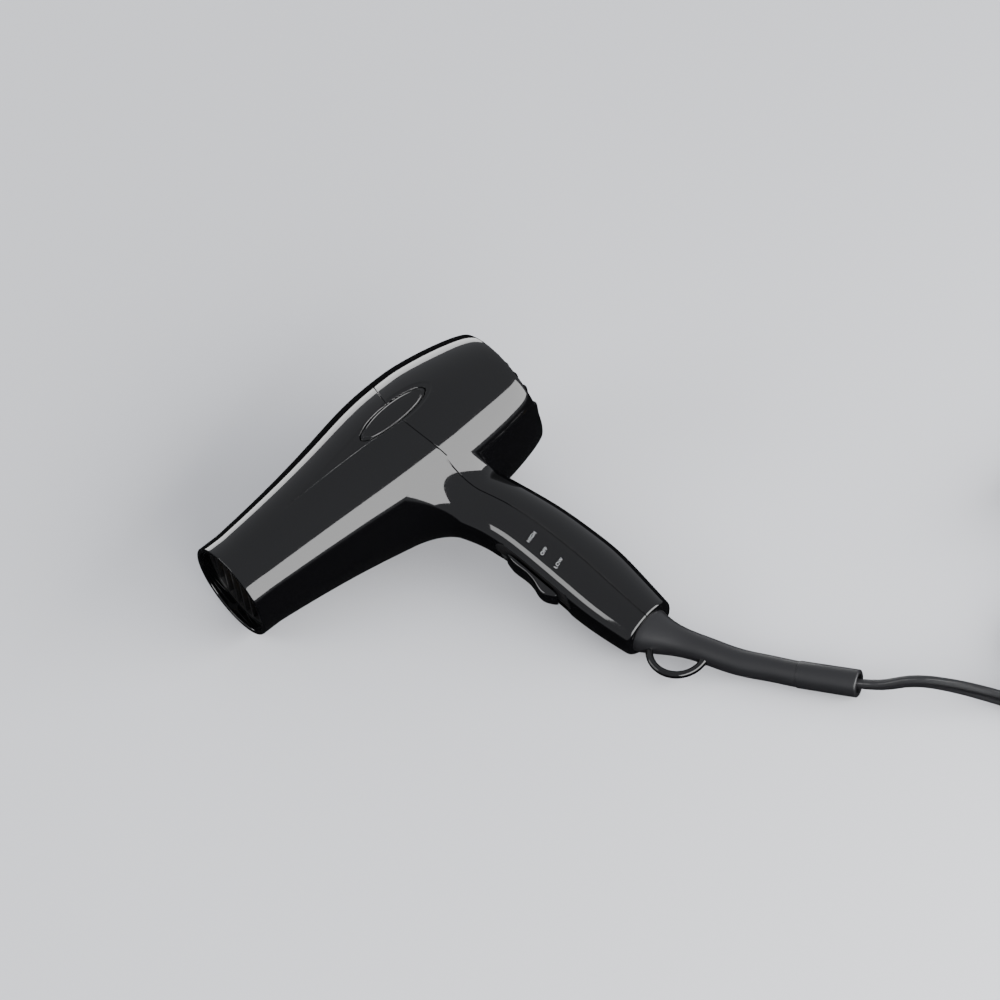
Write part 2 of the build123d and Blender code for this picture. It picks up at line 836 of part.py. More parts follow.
with BuildPart() as inner_cores:
    for side in (-1, 1):
        with BuildLine() as core_line:
            FilletPolyline(
                (clamp_x, -split_depth, side * cord_width / 4),
                (clamp_x, -split_depth + 2.5, side * cord_width / 4),
                (clamp_x - 1, -split_depth + 6.5, side * core_spread),
                (clamp_x - 3, -core_end, side * core_spread),
                radius=2.0,
            )
        with BuildSketch(Plane(core_line.line @ 0, z_dir=core_line.line % 0)):
            Circle(core_radius)
        sweep(path=core_line.line)

with BuildPart() as cord_clamp:
    with BuildSketch(clamp_face):
        RectangleRounded(2 * (clamp_post_spread + clamp_post_radius), 6, 1.5)
        with Locations((-clamp_post_spread, 0), (clamp_post_spread, 0)):
            Circle(screw_radius - 0.3, mode=Mode.SUBTRACT)
    extrude(amount=2.4)

with BuildPart() as clamp_screws:
    for side in (-1, 1):
        with BuildSketch(clamp_face.offset(2.4)):
            with Locations((side * clamp_post_spread, 0)):
                Circle(screw_head_radius - 0.6)
        extrude(amount=1.6)
        with BuildSketch(clamp_face.offset(2.4)):
            with Locations((side * clamp_post_spread, 0)):
                Circle(screw_radius - 0.4)
        extrude(amount=-9)

with BuildPart() as handle_screws:
    for level, half in zip(boss_planes, boss_widths):
        head = level.offset(half - screw_head_height - 1.2)
        with BuildSketch(head):
            Circle(screw_head_radius)
        extrude(amount=screw_head_height)
        with BuildSketch(head):
            Circle(screw_radius)
        extrude(amount=-(half - screw_head_height - 1.2 + 9))
        with BuildSketch(head.offset(screw_head_height)):
            Rectangle(2.6, 0.7)
            Rectangle(0.7, 2.6)
        extrude(amount=-1.0, mode=Mode.SUBTRACT)

# Insulated leads from the switch up past the duct to the heater.
lead_radius = 1.1
lead_spread = 6.4
lead_start = switch_depth - switch_body_length / 2 - 1
lead_gap = 0.5  # between the leads and the duct
lead_turn = 4.0  # the leads' bend over the cone, behind the cone's narrow end
cone_slope = (duct_radius - heater_radius - cone_wall) / (duct_front - heater_rear)
lead_level = duct_radius + lead_radius + lead_gap
lead_over_cone = heater_radius + cone_wall + lead_turn * cone_slope + lead_radius + lead_gap

with BuildPart() as supply_leads:
    for side in (-1, 1):
        across = side * lead_spread
        with BuildLine() as lead_line:
            FilletPolyline(
                (3, -lead_start, across),
                (3, -lead_level - 6, across),
                (-5, -lead_level, across),
                (heater_rear + lead_turn, -lead_over_cone, across),
                (heater_rear - 3, -heater_radius - 2.5, across),
                (heater_rear - 3, -heater_radius, across),
                radius=0.9,
            )
        with BuildSketch(Plane(lead_line.line @ 0, z_dir=lead_line.line % 0)):
            Circle(lead_radius)
        sweep(path=lead_line.line)
    add(motor_mount.part, mode=Mode.SUBTRACT)

# ---------------------------------------------------------------- lying at rest

# The dryer lies on its belly, its nozzle's rim and its handle's end: three balls on a table.
belly_to_nozzle = front_length + belly_setback
end_thickness = station(1.0)[2]
lean_x = (belly_radius - nozzle_radius) / belly_to_nozzle
end_rise = belly_radius + lean_x * (end_middle - belly_setback) - end_thickness
lean_y = end_rise / handle_depth
floor_up = Vector(lean_x, lean_y, math.sqrt(1 - lean_x**2 - lean_y**2))
barrel_level = (Vector(1, 0, 0) - floor_up * lean_x).normalized()
floor_plane = Plane((0, 0, 0), x_dir=barrel_level, z_dir=floor_up)
axis_height = belly_radius - lean_x * belly_setback
lying = Location((0, 0, axis_height)) * floor_plane.location.inverse()

lying_pieces = {
    "front_housing": front_housing,
    "rear_housing": rear_housing,
    "side_inlay_left": side_inlay_left,
    "side_inlay_right": side_inlay_right,
    "outlet_grille": outlet_grille,
    "rear_grille": rear_grille,
    "lint_screen": lint_screen,
    "switch_surround": switch_surround,
    "switch_knob": switch_knob,
    "switch_carriage": switch_carriage,
    "switch_body": switch_body,
    "switch_terminals": switch_terminals,
    "motor_mount": motor_mount,
    "fan_impeller": fan_impeller,
    "motor_shaft": motor_shaft,
    "motor_rotor": motor_rotor,
    "motor_commutator": motor_commutator,
    "motor_can": motor_can,
    "motor_end_cap": motor_end_cap,
    "motor_bushes": motor_bushes,
    "motor_magnets": motor_magnets,
    "rectifier_diodes": rectifier_diodes,
    "heater_tube": heater_tube,
    "mica_board_upright": mica_board_upright,
    "mica_board_level": mica_board_level,
    "heater_coil_high": heater_coil_high,
    "heater_coil_low": heater_coil_low,
    "thermostat": thermostat,
    "thermal_fuse": thermal_fuse,
    "cord_sleeve": cord_sleeve,
    "sleeve_collar": sleeve_collar,
    "hang_loop": hang_loop,
    "inner_cord": inner_cord,
    "inner_cores": inner_cores,
    "cord_clamp": cord_clamp,
    "clamp_screws": clamp_screws,
    "handle_screws": handle_screws,
    "supply_leads": supply_leads,
}
laid = [piece.part.moved(lying) for piece in lying_pieces.values()]
low = [min(getattr(part.bounding_box().min, axis) for part in laid) for axis in "XYZ"]
high = [max(getattr(part.bounding_box().max, axis) for part in laid) for axis in "XYZ"]
# The origin is under the middle of the dryer without its cord, on the surface.
centring = Location((-(low[0] + high[0]) / 2, -(low[1] + high[1]) / 2, -low[2]))
resting = centring * lying


def laid_out(point):
    """A point of the upright dryer, where it comes to rest."""
    return (resting * Location(tuple(point))).position


# ---------------------------------------------------------------- cord, coil and plug

# Drawn at rest: the surface is Z = 0. Route points are offsets from the collar's mouth, with
# their heights above the surface.
cord_mouth = laid_out(collar_start + collar_dir * tip_length)
cord_exit = laid_out(collar_start + collar_dir * collar_length)
cord_heading = (cord_exit - cord_mouth).normalized()
lead_offsets = [
    (15.0, -21.0, 11.5),
    (26.0, -37.0, 9.5),
    (38.5, -55.5, 4.4),
    (51.5, -75.0, 4.4),
]
lead_points = [cord_exit + cord_heading * 9] + [
    Vector(cord_exit.X + x, cord_exit.Y + y, height) for x, y, height in lead_offsets
]
lead_last = lead_points[-1] - lead_points[-2]
lead_heading = Vector(lead_last.X, lead_last.Y, 0).normalized()
lead_left = Vector(-lead_heading.Y, lead_heading.X, 0)

turn_pitch = cord_thickness + turn_gap
coil_width = coil_turns_across * turn_pitch
coil_height = coil_layers * (cord_width + turn_gap)
outer_turn = coil_mid_radius + (coil_turns_across - 1) / 2 * turn_pitch
entry_arm = 24.0
exit_arm = 28.0
coil_entry = lead_points[-1] + lead_heading * entry_arm
coil_middle = Vector(coil_entry.X, coil_entry.Y, 0) + lead_left * outer_turn
plug_level = plug_height / 2


def free_path(points):
    """Straight runs joined by arcs as large as each pair of runs allows."""
    runs = [(b - a).length for a, b in zip(points, points[1:])]
    radii = []
    for before, corner, after, run, following in zip(
        points, points[1:], points[2:], runs, runs[1:]
    ):
        turn = math.radians((corner - before).get_angle(after - corner))
        radii.append(0.45 * min(run, following) / math.tan(turn / 2))
    print("bend radii", [round(radius, 1) for radius in radii])
    return FilletPolyline(*points, radius=radii)


lead_across = cord_heading.cross(Vector(0, 0, 1)).normalized()

with BuildPart() as cord_lead:
    with BuildLine() as lead_path:
        free_path([cord_mouth, *lead_points])
    with BuildSketch(Plane(cord_mouth, x_dir=lead_across, z_dir=lead_path.line % 0)):
        Ellipse(cord_thickness / 2, cord_width / 2)
    sweep(path=lead_path.line)

lead_section = math.pi * cord_width * cord_thickness / 4
lead_length = lead_path.wire().length
print("cord lead", round(lead_length, 1), "volume ratio",
      round(cord_lead.part.volume / (lead_section * lead_length), 4))

entry_plane = Plane(lead_points[-1], x_dir=lead_left, z_dir=lead_heading)
exit_plane = Plane(coil_middle + Vector(outer_turn, 0, plug_level), x_dir=(-1, 0, 0), z_dir=(0, 1, 0))

with BuildPart() as cord_coil:
    with BuildSketch():
        with Locations((coil_middle.X, coil_middle.Y)):
            Circle(coil_mid_radius + coil_width / 2)
            Circle(coil_mid_radius - coil_width / 2, mode=Mode.SUBTRACT)
    extrude(amount=coil_height)
    fillet(cord_coil.edges().filter_by(GeomType.CIRCLE), 1.8)
    with BuildSketch(entry_plane):
        Ellipse(cord_thickness / 2, cord_width / 2)
    extrude(amount=entry_arm)
    with BuildSketch(exit_plane):
        Ellipse(cord_thickness / 2, cord_width / 2)
    extrude(amount=exit_arm)

relief_plane = exit_plane.offset(exit_arm)
plug_plane = relief_plane.offset(relief_length)
face_plane = plug_plane.offset(plug_length - plug_face)
tip_plane = plug_plane.offset(plug_length)
plug_top = Plane(
    plug_plane.origin + Vector(0, (plug_length - plug_face) / 2, plug_height / 2),
    x_dir=(0, 1, 0),
    z_dir=(0, 0, 1),
)

with BuildPart() as plug_relief:
    with BuildSketch(relief_plane):
        Ellipse(cord_thickness / 2 + 1.2, cord_width / 2 + 1.0)
    with BuildSketch(plug_plane):
        Ellipse(6.5, 7.5)
    loft()

button_spots = [(-7.0, 0), (7.0, 0)]
post_spots = [
    (x * (plug_width / 2 - 5), y * (plug_height / 2 - 5)) for x, y in ((-1, -1), (1, 1))
]

with BuildPart() as plug_body:
    with BuildSketch(plug_plane):
        RectangleRounded(plug_width, plug_height, plug_corner)
    extrude(amount=plug_length - plug_face)
    fillet(plug_body.faces().sort_by(Axis.Y)[0].edges(), 1.5)
    with BuildSketch(plug_plane.offset(plug_wall)):
        RectangleRounded(
            plug_width - 2 * plug_wall, plug_height - 2 * plug_wall, plug_corner - plug_wall
        )
    extrude(amount=plug_length, mode=Mode.SUBTRACT)
    with BuildSketch(plug_top):
        with Locations(*button_spots):
            Rectangle(button_length + 2 * slide_gap, button_width + 2 * slide_gap)
    extrude(amount=-plug_wall - 1, mode=Mode.SUBTRACT)
    # Screw posts up to the face plate.
    with BuildSketch(plug_plane.offset(plug_wall)):
        with Locations(*post_spots):
            Circle(3.2)
            Circle(screw_radius - 0.3, mode=Mode.SUBTRACT)
    extrude(amount=plug_length - plug_face - plug_wall)

with BuildPart() as plug_cover:
    with BuildSketch(face_plane):
        RectangleRounded(plug_width, plug_height, plug_corner)
        with Locations((-blade_spacing / 2, 0), (blade_spacing / 2, 0)):
            Rectangle(blade_thick, blade_width, mode=Mode.SUBTRACT)
        with Locations(*post_spots):
            Circle(screw_radius, mode=Mode.SUBTRACT)
    extrude(amount=plug_face)
    with BuildSketch(tip_plane):
        with Locations(*post_spots):
            Circle(screw_head_radius - 0.4)
    extrude(amount=-1.6, mode=Mode.SUBTRACT)

blade_inside = 6.0

with BuildPart() as plug_blades:
    with BuildSketch(face_plane.offset(-blade_inside)):
        with Locations((-blade_spacing / 2, 0), (blade_spacing / 2, 0)):
            Rectangle(blade_thick, blade_width)
    extrude(amount=blade_inside + plug_face + blade_length)
    hole_plane = Plane(tip_plane.origin, x_dir=(0, 1, 0), z_dir=(1, 0, 0))
    with BuildSketch(hole_plane.offset(-blade_spacing)):
        with Locations((blade_length - 4.0, 0)):
            Circle(1.6)
    extrude(amount=2 * blade_spacing, mode=Mode.SUBTRACT)

board_size = (plug_width - 2 * plug_wall - 9, 26.0)

with BuildPart() as plug_circuit_board:
    with Locations(plug_plane.offset(plug_wall + 2 + board_size[1] / 2)):
        Box(board_size[0], 1.6, board_size[1])

with BuildPart() as plug_screws:
    with BuildSketch(tip_plane.offset(-1.6)):
        with Locations(*post_spots):
            Circle(screw_head_radius - 0.5)
    extrude(amount=1.4)
    with BuildSketch(tip_plane.offset(-1.6)):
        with Locations(*post_spots):
            Circle(screw_radius - 0.3)
    extrude(amount=-10)


def plug_button(spot):
    """A push button with a flange that keeps it in the plug's top wall."""
    flange = 1.0
    with BuildPart() as button:
        with BuildSketch(plug_top.offset(button_proud)):
            with Locations(spot):
                Rectangle(button_length, button_width)
        extrude(amount=-(button_proud + plug_wall))
        fillet(button.faces().sort_by(Axis.Z)[-1].edges(), 0.5)
        with BuildSketch(plug_top.offset(-plug_wall)):
            with Locations(spot):
                Rectangle(button_length + 2, button_width + 2)
        extrude(amount=-flange)
    return button


test_button = plug_button(button_spots[0])
reset_button = plug_button(button_spots[1])

cord_pieces = {
    "cord_lead": cord_lead,
    "cord_coil": cord_coil,
    "plug_relief": plug_relief,
    "plug_body": plug_body,
    "plug_cover": plug_cover,
    "plug_blades": plug_blades,
    "plug_circuit_board": plug_circuit_board,
    "plug_screws": plug_screws,
    "test_button": test_button,
    "reset_button": reset_button,
}

# ---------------------------------------------------------------- files

os.makedirs("parts", exist_ok=True)
for label, piece in lying_pieces.items():
    piece.part.move(resting)
for label, piece in {**lying_pieces, **cord_pieces}.items():
    piece.part.label = label
    export_step(piece.part, f"parts/{label}.step")
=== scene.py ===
"""Travel hair dryer lying on its side: polished black shells, grilles, slide switch, cord and plug."""

import json
import math

import bpy
import numpy as np
from bpy.props import FloatProperty, FloatVectorProperty, PointerProperty
from mathutils import Matrix, Vector


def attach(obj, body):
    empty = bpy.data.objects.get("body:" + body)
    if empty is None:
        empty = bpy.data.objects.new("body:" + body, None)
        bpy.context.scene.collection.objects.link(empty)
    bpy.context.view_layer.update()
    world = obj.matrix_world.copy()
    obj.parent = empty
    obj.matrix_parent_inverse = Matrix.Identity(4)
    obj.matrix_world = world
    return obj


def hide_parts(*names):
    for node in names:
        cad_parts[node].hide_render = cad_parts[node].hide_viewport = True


bl_info = {
    "name": "Travel Hair Dryer",
    "version": (1, 0, 0),
    "blender": (4, 5, 0),
    "location": "View3D > Sidebar > Hair Dryer",
    "description": "Builds a travel hair dryer around its working frame",
    "category": "Add Mesh",
}

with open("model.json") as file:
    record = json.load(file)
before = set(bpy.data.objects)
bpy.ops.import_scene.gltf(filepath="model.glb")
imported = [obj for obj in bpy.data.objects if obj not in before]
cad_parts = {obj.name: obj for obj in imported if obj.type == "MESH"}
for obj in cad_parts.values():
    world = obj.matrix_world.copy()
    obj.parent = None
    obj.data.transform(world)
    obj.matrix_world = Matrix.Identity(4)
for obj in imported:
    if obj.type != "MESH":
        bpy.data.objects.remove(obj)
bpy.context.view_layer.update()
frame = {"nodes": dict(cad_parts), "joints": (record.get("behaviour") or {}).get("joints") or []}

# ---------------------------------------------------------------- sizes, millimetres
# Shapes are drawn in the upright dryer's axes: X from the air outlet (-) to the air inlet (+), the
# handle down -Y, +Z its left side, the origin on the barrel's axis. laid() turns them to where
# the dryer lies, in metres.

MM = 0.001
NOZZLE_X = -114.5
REAR_X = 49.5
NOZZLE_RADIUS = 24.5
SEAT_LENGTH = 11.0
BELLY_RADIUS = 38.2
BELLY_X = 5.5
REAR_RADIUS = 29.8
WALL = 2.2
SEAM_BOW = 9.0  # how far the seam bows forward on the barrel's sides
SEAM_GAP = 0.11  # half the open seam

HANDLE_DEPTH = 150.0
HANDLE_HALF = 18.9
HANDLE_EDGE = 14.0
HANDLE_OFFSET = 10.0
END_TILT = math.radians(8.2)
END_RIM = 2.0
MOUTH_RADIUS = 9.2
# Share of the handle's depth, of its offset, of its half width and of its half thickness.
HANDLE_STATIONS = np.array([
    (0.29, -0.10, 1.02, 1.06),
    (0.40, 0.44, 0.95, 1.00),
    (0.51, 0.74, 0.965, 1.00),
    (0.62, 0.90, 0.99, 1.00),
    (0.73, 1.00, 1.00, 1.00),
    (0.84, 1.03, 0.95, 0.97),
    (0.95, 1.10, 0.85, 0.90),
    (1.06, 1.20, 0.73, 0.81),
])

OVAL_X = -9.6
OVAL_Y = 2.2
OVAL_LENGTH = 38.5
OVAL_HEIGHT = 11.6
OVAL_SINK = 0.6
TEAR_X = -6.0  # widest place of the teardrop round the oval
TEAR_FRONT = 89.0
TEAR_REAR = 19.4
TEAR_HALF = 7.8
TEAR_SINK = 0.45
TEAR_EDGE = 0.9  # width of the teardrop's soft step
WINDOW_SINK = 1.4  # the shells open this deep under the oval plates

# Fillet between barrel and handle: its reach at the rear, what it gains towards the front, and
# how far it runs down the handle for each millimetre of reach.
FILLET_REAR = 0.9
FILLET_GAIN = 14.6
FILLET_DROP = 0.75

SWITCH_DEPTH = 92.0
SURROUND_LENGTH = 52.0
SURROUND_WIDTH = 12.5
SURROUND_SINK = 2.4
KNOB_LENGTH = 33.0
KNOB_WIDTH = 9.6
KNOB_HEIGHT = 3.6
KNOB_BOTTOM = -0.75
# The knob's crown from its upper end to its lower: shares of its half length, and heights.
KNOB_SHARES = (-1, -0.6, -0.2, 0.24, 0.64, 1)
KNOB_LEVELS = (
    KNOB_BOTTOM + 1.2, 0.42 * KNOB_HEIGHT, 0.3 * KNOB_HEIGHT, 0.62 * KNOB_HEIGHT, KNOB_HEIGHT,
    KNOB_BOTTOM + 1.4,
)
LABELS = (("HIGH", 81.4), ("OFF", 90.9), ("LOW", 100.6))  # each word and its depth down the handle
LABEL_X = -1.6
LABEL_LEAN = math.radians(8)
LABEL_NARROWING = 0.8
INK_THICKNESS = 0.03
FAN_MIDDLE = 20.0

INLET_BARS = 9
INLET_PITCH = 6.0
INLET_BAR = 3.9
INLET_PROUD = 2.45  # the bars stand out of the rear rim

# The sleeve's axis from the handle's end, and its half width and half thickness by share of it.
SLEEVE_OFFSETS = np.array([
    (0, 0, 0), (10.7, -24.5, 0), (18.2, -42.3, 0.9), (26.4, -56.3, 2.0), (32.5, -67.3, 3.4),
])
SLEEVE_SHARES = (0, 0.12, 0.25, 0.4, 0.55, 0.7, 0.85, 1)
SLEEVE_WIDTHS = (11.6, 8.5, 6.7, 6.3, 6.2, 6.1, 6.0, 6.0)
SLEEVE_THICKNESSES = (9.7, 8.1, 6.6, 6.3, 6.2, 6.1, 6.0, 6.0)
SLEEVE_LEAVES = (0.30, -0.95, 0)  # its direction out of the handle
COLLAR_LENGTH = 28.0
COLLAR_RADIUS = 6.5
COLLAR_HEADING = np.array([14.9, -23.0, 2.3]) / np.linalg.norm([14.9, -23.0, 2.3])
LOOP_WIRE = 1.75
LOOP_RADIUS = 12.6
LOOP_ENDS = (0.05, 0.40)  # shares of the sleeve where the loop grows out of it
LOOP_DEPTH = 5.2  # the loop's ends stand this far from the sleeve's axis

CORD_WIDTH = 8.4
CORD_THICKNESS = 4.2
CORD_LEAN = math.radians(38)  # the flat cord's lean where it leaves the collar
CORD_LEAN_RUN = 80.0  # it is upright from here on
# Free cord from the collar's mouth: offsets in x and y, and heights above the surface.
LEAD_OFFSETS = ((16.0, -20.0, 13.5), (28.5, -35.0, 11.0), (41.5, -52.5, 5.6), (51.5, -75.0, 4.6))
COIL_HEADING = (13.0, -19.5)  # the way the cord runs into its coil
COIL_RADIUS = 47.4
COIL_PITCH = 4.4
COIL_LAYER = 8.6
COIL_TURNS = 5.405
COIL_STEPS = 24  # route points in each turn
ENTRY_ARM = 24.0
EXIT_ARM = 28.0
PLUG_LEVEL = 13.5


# ---------------------------------------------------------------- where things lie


def joint(name):
    """One joint of the working frame."""
    return next(j for j in frame["joints"] if j["name"] == name)


def lying_turn():
    """The turn from the upright dryer's axes to the surface's, for a dryer that rests on its
    belly, its nozzle's rim and its handle's end, as three balls rest on a table."""
    thickness = HANDLE_EDGE * spline(1.0, 3)
    end_middle = HANDLE_OFFSET * spline(1.0, 1)
    lean_x = (BELLY_RADIUS - NOZZLE_RADIUS) / (BELLY_X - NOZZLE_X)
    lean_y = (BELLY_RADIUS + lean_x * (end_middle - BELLY_X) - thickness) / HANDLE_DEPTH
    up = np.array([lean_x, lean_y, math.sqrt(1 - lean_x**2 - lean_y**2)])
    level = np.array([1.0, 0, 0]) - up * lean_x
    level /= np.linalg.norm(level)
    return np.array([level, np.cross(up, level), up])


def spline(at, column=None, knots=None, values=None, slopes=None):
    """Cubic spline through values at knots, natural at both ends or with the given end slopes:
    the second differences solve a three-band system, and each span is a cubic of them.
    Without knots it reads a column of the handle's stations."""
    if knots is None:
        knots, values = HANDLE_STATIONS[:, 0], HANDLE_STATIONS[:, column]
    knots = np.asarray(knots, float)
    values = np.asarray(values, float)
    n = len(knots)
    h = np.diff(knots)
    slope = np.diff(values, axis=0) / (h if values.ndim == 1 else h[:, None])
    band = np.eye(n)
    right = np.zeros_like(values)
    inner = np.arange(1, n - 1)
    band[inner, inner - 1] = h[:-1]
    band[inner, inner] = 2 * (h[:-1] + h[1:])
    band[inner, inner + 1] = h[1:]
    right[1:-1] = 6 * np.diff(slope, axis=0)
    if slopes is not None:
        band[0, :2] = 2 * h[0], h[0]
        band[-1, -2:] = h[-1], 2 * h[-1]
        right[0] = 6 * (slope[0] - slopes[0])
        right[-1] = 6 * (slopes[1] - slope[-1])
    curve = np.linalg.solve(band, right)
    at = np.asarray(at, float)
    span = np.clip(np.searchsorted(knots, at) - 1, 0, n - 2)
    width = h[span]
    a = (knots[span + 1] - at) / width
    b = 1 - a
    if values.ndim > 1:
        a, b, width = a[..., None], b[..., None], width[..., None]
    return (
        a * values[span]
        + b * values[span + 1]
        + ((a**3 - a) * curve[span] + (b**3 - b) * curve[span + 1]) * width**2 / 6
    )


TURN = lying_turn()
ORIGIN = np.array(joint("fan_spin")["pos_m"]) - TURN @ np.array([FAN_MIDDLE, 0, 0]) * MM


def laid(points):
    """Upright millimetres to resting metres: turned, then carried to where the dryer lies."""
    return ORIGIN + np.asarray(points, float) @ TURN.T * MM


# ---------------------------------------------------------------- meshes


def smoothstep(t):
    """3t^2 - 2t^3, held at 0 and 1."""
    t = np.clip(t, 0, 1)
    return t * t * (3 - 2 * t)


def stretches(*parts):
    """Numbers from part to part: each part is (start, stop, step), and the last stop is kept."""
    runs = [np.linspace(a, b, max(2, round(abs(b - a) / s) + 1))[:-1] for a, b, s in parts]
    return np.concatenate([*runs, [parts[-1][1]]])


def grid_faces(rows, columns, around=False, along=False, first=0):
    """Quads of a grid of rows x columns, wrapped around its columns or along its rows."""
    i = np.arange(rows if along else rows - 1)[:, None]
    j = np.arange(columns if around else columns - 1)[None, :]
    i2 = (i + 1) % rows
    j2 = (j + 1) % columns
    quads = np.stack([i * columns + j, i * columns + j2, i2 * columns + j2, i2 * columns + j], -1)
    return quads.reshape(-1, 4) + first


CLOSED = {"around": True, "cap_start": True, "cap_end": True}  # a tube closed at both ends


def mesh_of(name, grids, material, body, smooth_angle=40):
    """One mesh from grids: each is (points rows x columns x 3, options), where options may hold
    around, along, flip, cap_start and cap_end. A cap closes a row with one middle point."""
    points, faces = [], []
    count = 0
    for grid, options in grids:
        rows, columns = grid.shape[:2]
        points.append(grid.reshape(-1, 3))
        quads = grid_faces(rows, columns, options.get("around", False), options.get("along", False), count)
        fans = []
        middle = count + rows * columns
        for cap, row in (("cap_start", 0), ("cap_end", rows - 1)):
            if options.get(cap):
                points.append(grid[row].mean(0)[None])
                j = np.arange(columns)
                ring = count + row * columns
                order = (ring + j, ring + (j + 1) % columns)
                if cap == "cap_start":
                    order = order[::-1]
                fans.append(np.stack([order[1], order[0], np.full(columns, middle)], -1))
                middle += 1
        if options.get("flip"):
            quads = quads[:, ::-1]
            fans = [fan[:, ::-1] for fan in fans]
        faces.extend(quads.tolist())
        for fan in fans:
            faces.extend(fan.tolist())
        count = middle
    mesh = bpy.data.meshes.new(name)
    mesh.from_pydata(np.concatenate(points), [], faces)
    mesh.polygons.foreach_set("use_smooth", np.ones(len(mesh.polygons), bool))
    mesh.set_sharp_from_angle(angle=math.radians(smooth_angle))
    mesh.materials.append(material)
    mesh.validate()
    piece = bpy.data.objects.new(name, mesh)
    bpy.context.scene.collection.objects.link(piece)
    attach(piece, body)
    return piece


# ---------------------------------------------------------------- materials


def linear(colour):
    """An sRGB hex value as linear red, green and blue."""
    parts = [int(colour[i : i + 2], 16) / 255 for i in (1, 3, 5)]
    return [c / 12.92 if c <= 0.04045 else ((c + 0.055) / 1.055) ** 2.4 for c in parts]


def add_node(tree, kind, settings=(), **links):
    """A node with its settings by name, inputs by socket name, and links from other sockets."""
    node = tree.nodes.new(kind)
    for name, value in dict(settings).items():
        if name in node.inputs:
            node.inputs[name].default_value = value
        else:
            setattr(node, name, value)
    for name, socket in links.items():
        tree.links.new(socket, node.inputs[name.replace("_", " ")])
    return node


def finish_of(name, colour, roughness, ior=1.5, metallic=0.0, **sockets):
    """A new material with its shader's own sockets set. Returns material, tree and shader."""
    material = bpy.data.materials.new(name)
    material.use_nodes = True
    tree = material.node_tree
    shader = tree.nodes["Principled BSDF"]
    shader.inputs["Base Color"].default_value = (*linear(colour), 1)
    shader.inputs["Roughness"].default_value = roughness
    shader.inputs["Metallic"].default_value = metallic
    shader.inputs["IOR"].default_value = ior
    for socket, value in sockets.items():
        shader.inputs[socket.replace("_", " ")].default_value = value
    return material, tree, shader


def grain(tree, shader, size, depth, spread=(), detail=3.0):
    """Surface grain from noise: size and depth are in millimetres, and spread, if given, is the
    roughness between the grain's low and high places."""
    place = add_node(tree, "ShaderNodeTexCoord")
    noise = add_node(
        tree, "ShaderNodeTexNoise", {"Scale": 1 / (size * MM), "Detail": detail},
        Vector=place.outputs["Object"],
    )
    bump = add_node(
        tree, "ShaderNodeBump", {"Strength": 1.0, "Distance": depth * MM}, Height=noise.outputs["Fac"],
    )
    tree.links.new(bump.outputs["Normal"], shader.inputs["Normal"])
    if spread:
        band = add_node(
            tree, "ShaderNodeMapRange",
            {"From Min": 0.3, "From Max": 0.7, "To Min": spread[0], "To Max": spread[1]},
            Value=noise.outputs["Fac"],
        )
        tree.links.new(band.outputs["Result"], shader.inputs["Roughness"])


def polished_black_abs(colour):
    """Piano-black ABS moulded in a polished tool: mirror reflections that waver a little over
    about 9 mm of sink and flow, and a haze of fine handling scuffs a few tenths of a mm wide."""
    material, tree, shader = finish_of("polished black ABS", "#060607", 0.05, 1.53)
    shader.inputs["Base Color"].default_value = (*colour, 1)
    place = add_node(tree, "ShaderNodeTexCoord")
    flow = add_node(
        tree, "ShaderNodeTexNoise", {"Scale": 1 / (9 * MM), "Detail": 1.0}, Vector=place.outputs["Object"],
    )
    bump = add_node(
        tree, "ShaderNodeBump", {"Strength": 1.0, "Distance": 0.012 * MM}, Height=flow.outputs["Fac"],
    )
    tree.links.new(bump.outputs["Normal"], shader.inputs["Normal"])
    stretched = add_node(
        tree, "ShaderNodeMapping", {"Scale": (1.0, 7.0, 3.0)}, Vector=place.outputs["Object"],
    )
    scuffs = add_node(
        tree, "ShaderNodeTexNoise", {"Scale": 1 / (2.6 * MM), "Detail": 5.0, "Roughness": 0.6},
        Vector=stretched.outputs["Vector"],
    )
    haze = add_node(
        tree, "ShaderNodeMapRange", {"From Min": 0.45, "From Max": 0.75, "To Min": 0.035, "To Max": 0.11},
        Value=scuffs.outputs["Fac"],
    )
    tree.links.new(haze.outputs["Result"], shader.inputs["Roughness"])
    return material


def spark_textured_nylon():
    """Black nylon moulded in a spark-eroded tool: a fine even matt of about 0.35 mm."""
    material, tree, shader = finish_of("spark textured nylon", "#161617", 0.42, 1.53)
    grain(tree, shader, 0.35, 0.02, (0.36, 0.5))
    return material


def moulded_pvc():
    """Soft black PVC of the sleeve and reliefs: satin, with a faint skin of 0.5 mm grain."""
    material, tree, shader = finish_of("moulded soft PVC", "#19191b", 0.38, 1.52)
    grain(tree, shader, 0.5, 0.02, (0.33, 0.46))
    return material


def extruded_pvc():
    """Black PVC cord jacket: satin, with ribs drawn along it by the die every 0.6 mm across."""
    material, tree, shader = finish_of("extruded PVC jacket", "#1b1b1d", 0.42, 1.52)
    place = add_node(tree, "ShaderNodeUVMap", {"uv_map": "along"})
    ribs = add_node(
        tree, "ShaderNodeTexWave", {"Scale": 5.0, "Distortion": 0.3, "bands_direction": "Y"},
        Vector=place.outputs["UV"],
    )
    bump = add_node(
        tree, "ShaderNodeBump", {"Strength": 0.8, "Distance": 0.06 * MM}, Height=ribs.outputs["Fac"],
    )
    tree.links.new(bump.outputs["Normal"], shader.inputs["Normal"])
    return material


def metal(name, colour, roughness, size=0.3, depth=0.004):
    """A metal, with its drawn or rolled grain in millimetres."""
    material, tree, shader = finish_of(name, colour, roughness, metallic=1.0)
    grain(tree, shader, size, depth, (roughness * 0.8, roughness * 1.3))
    return material


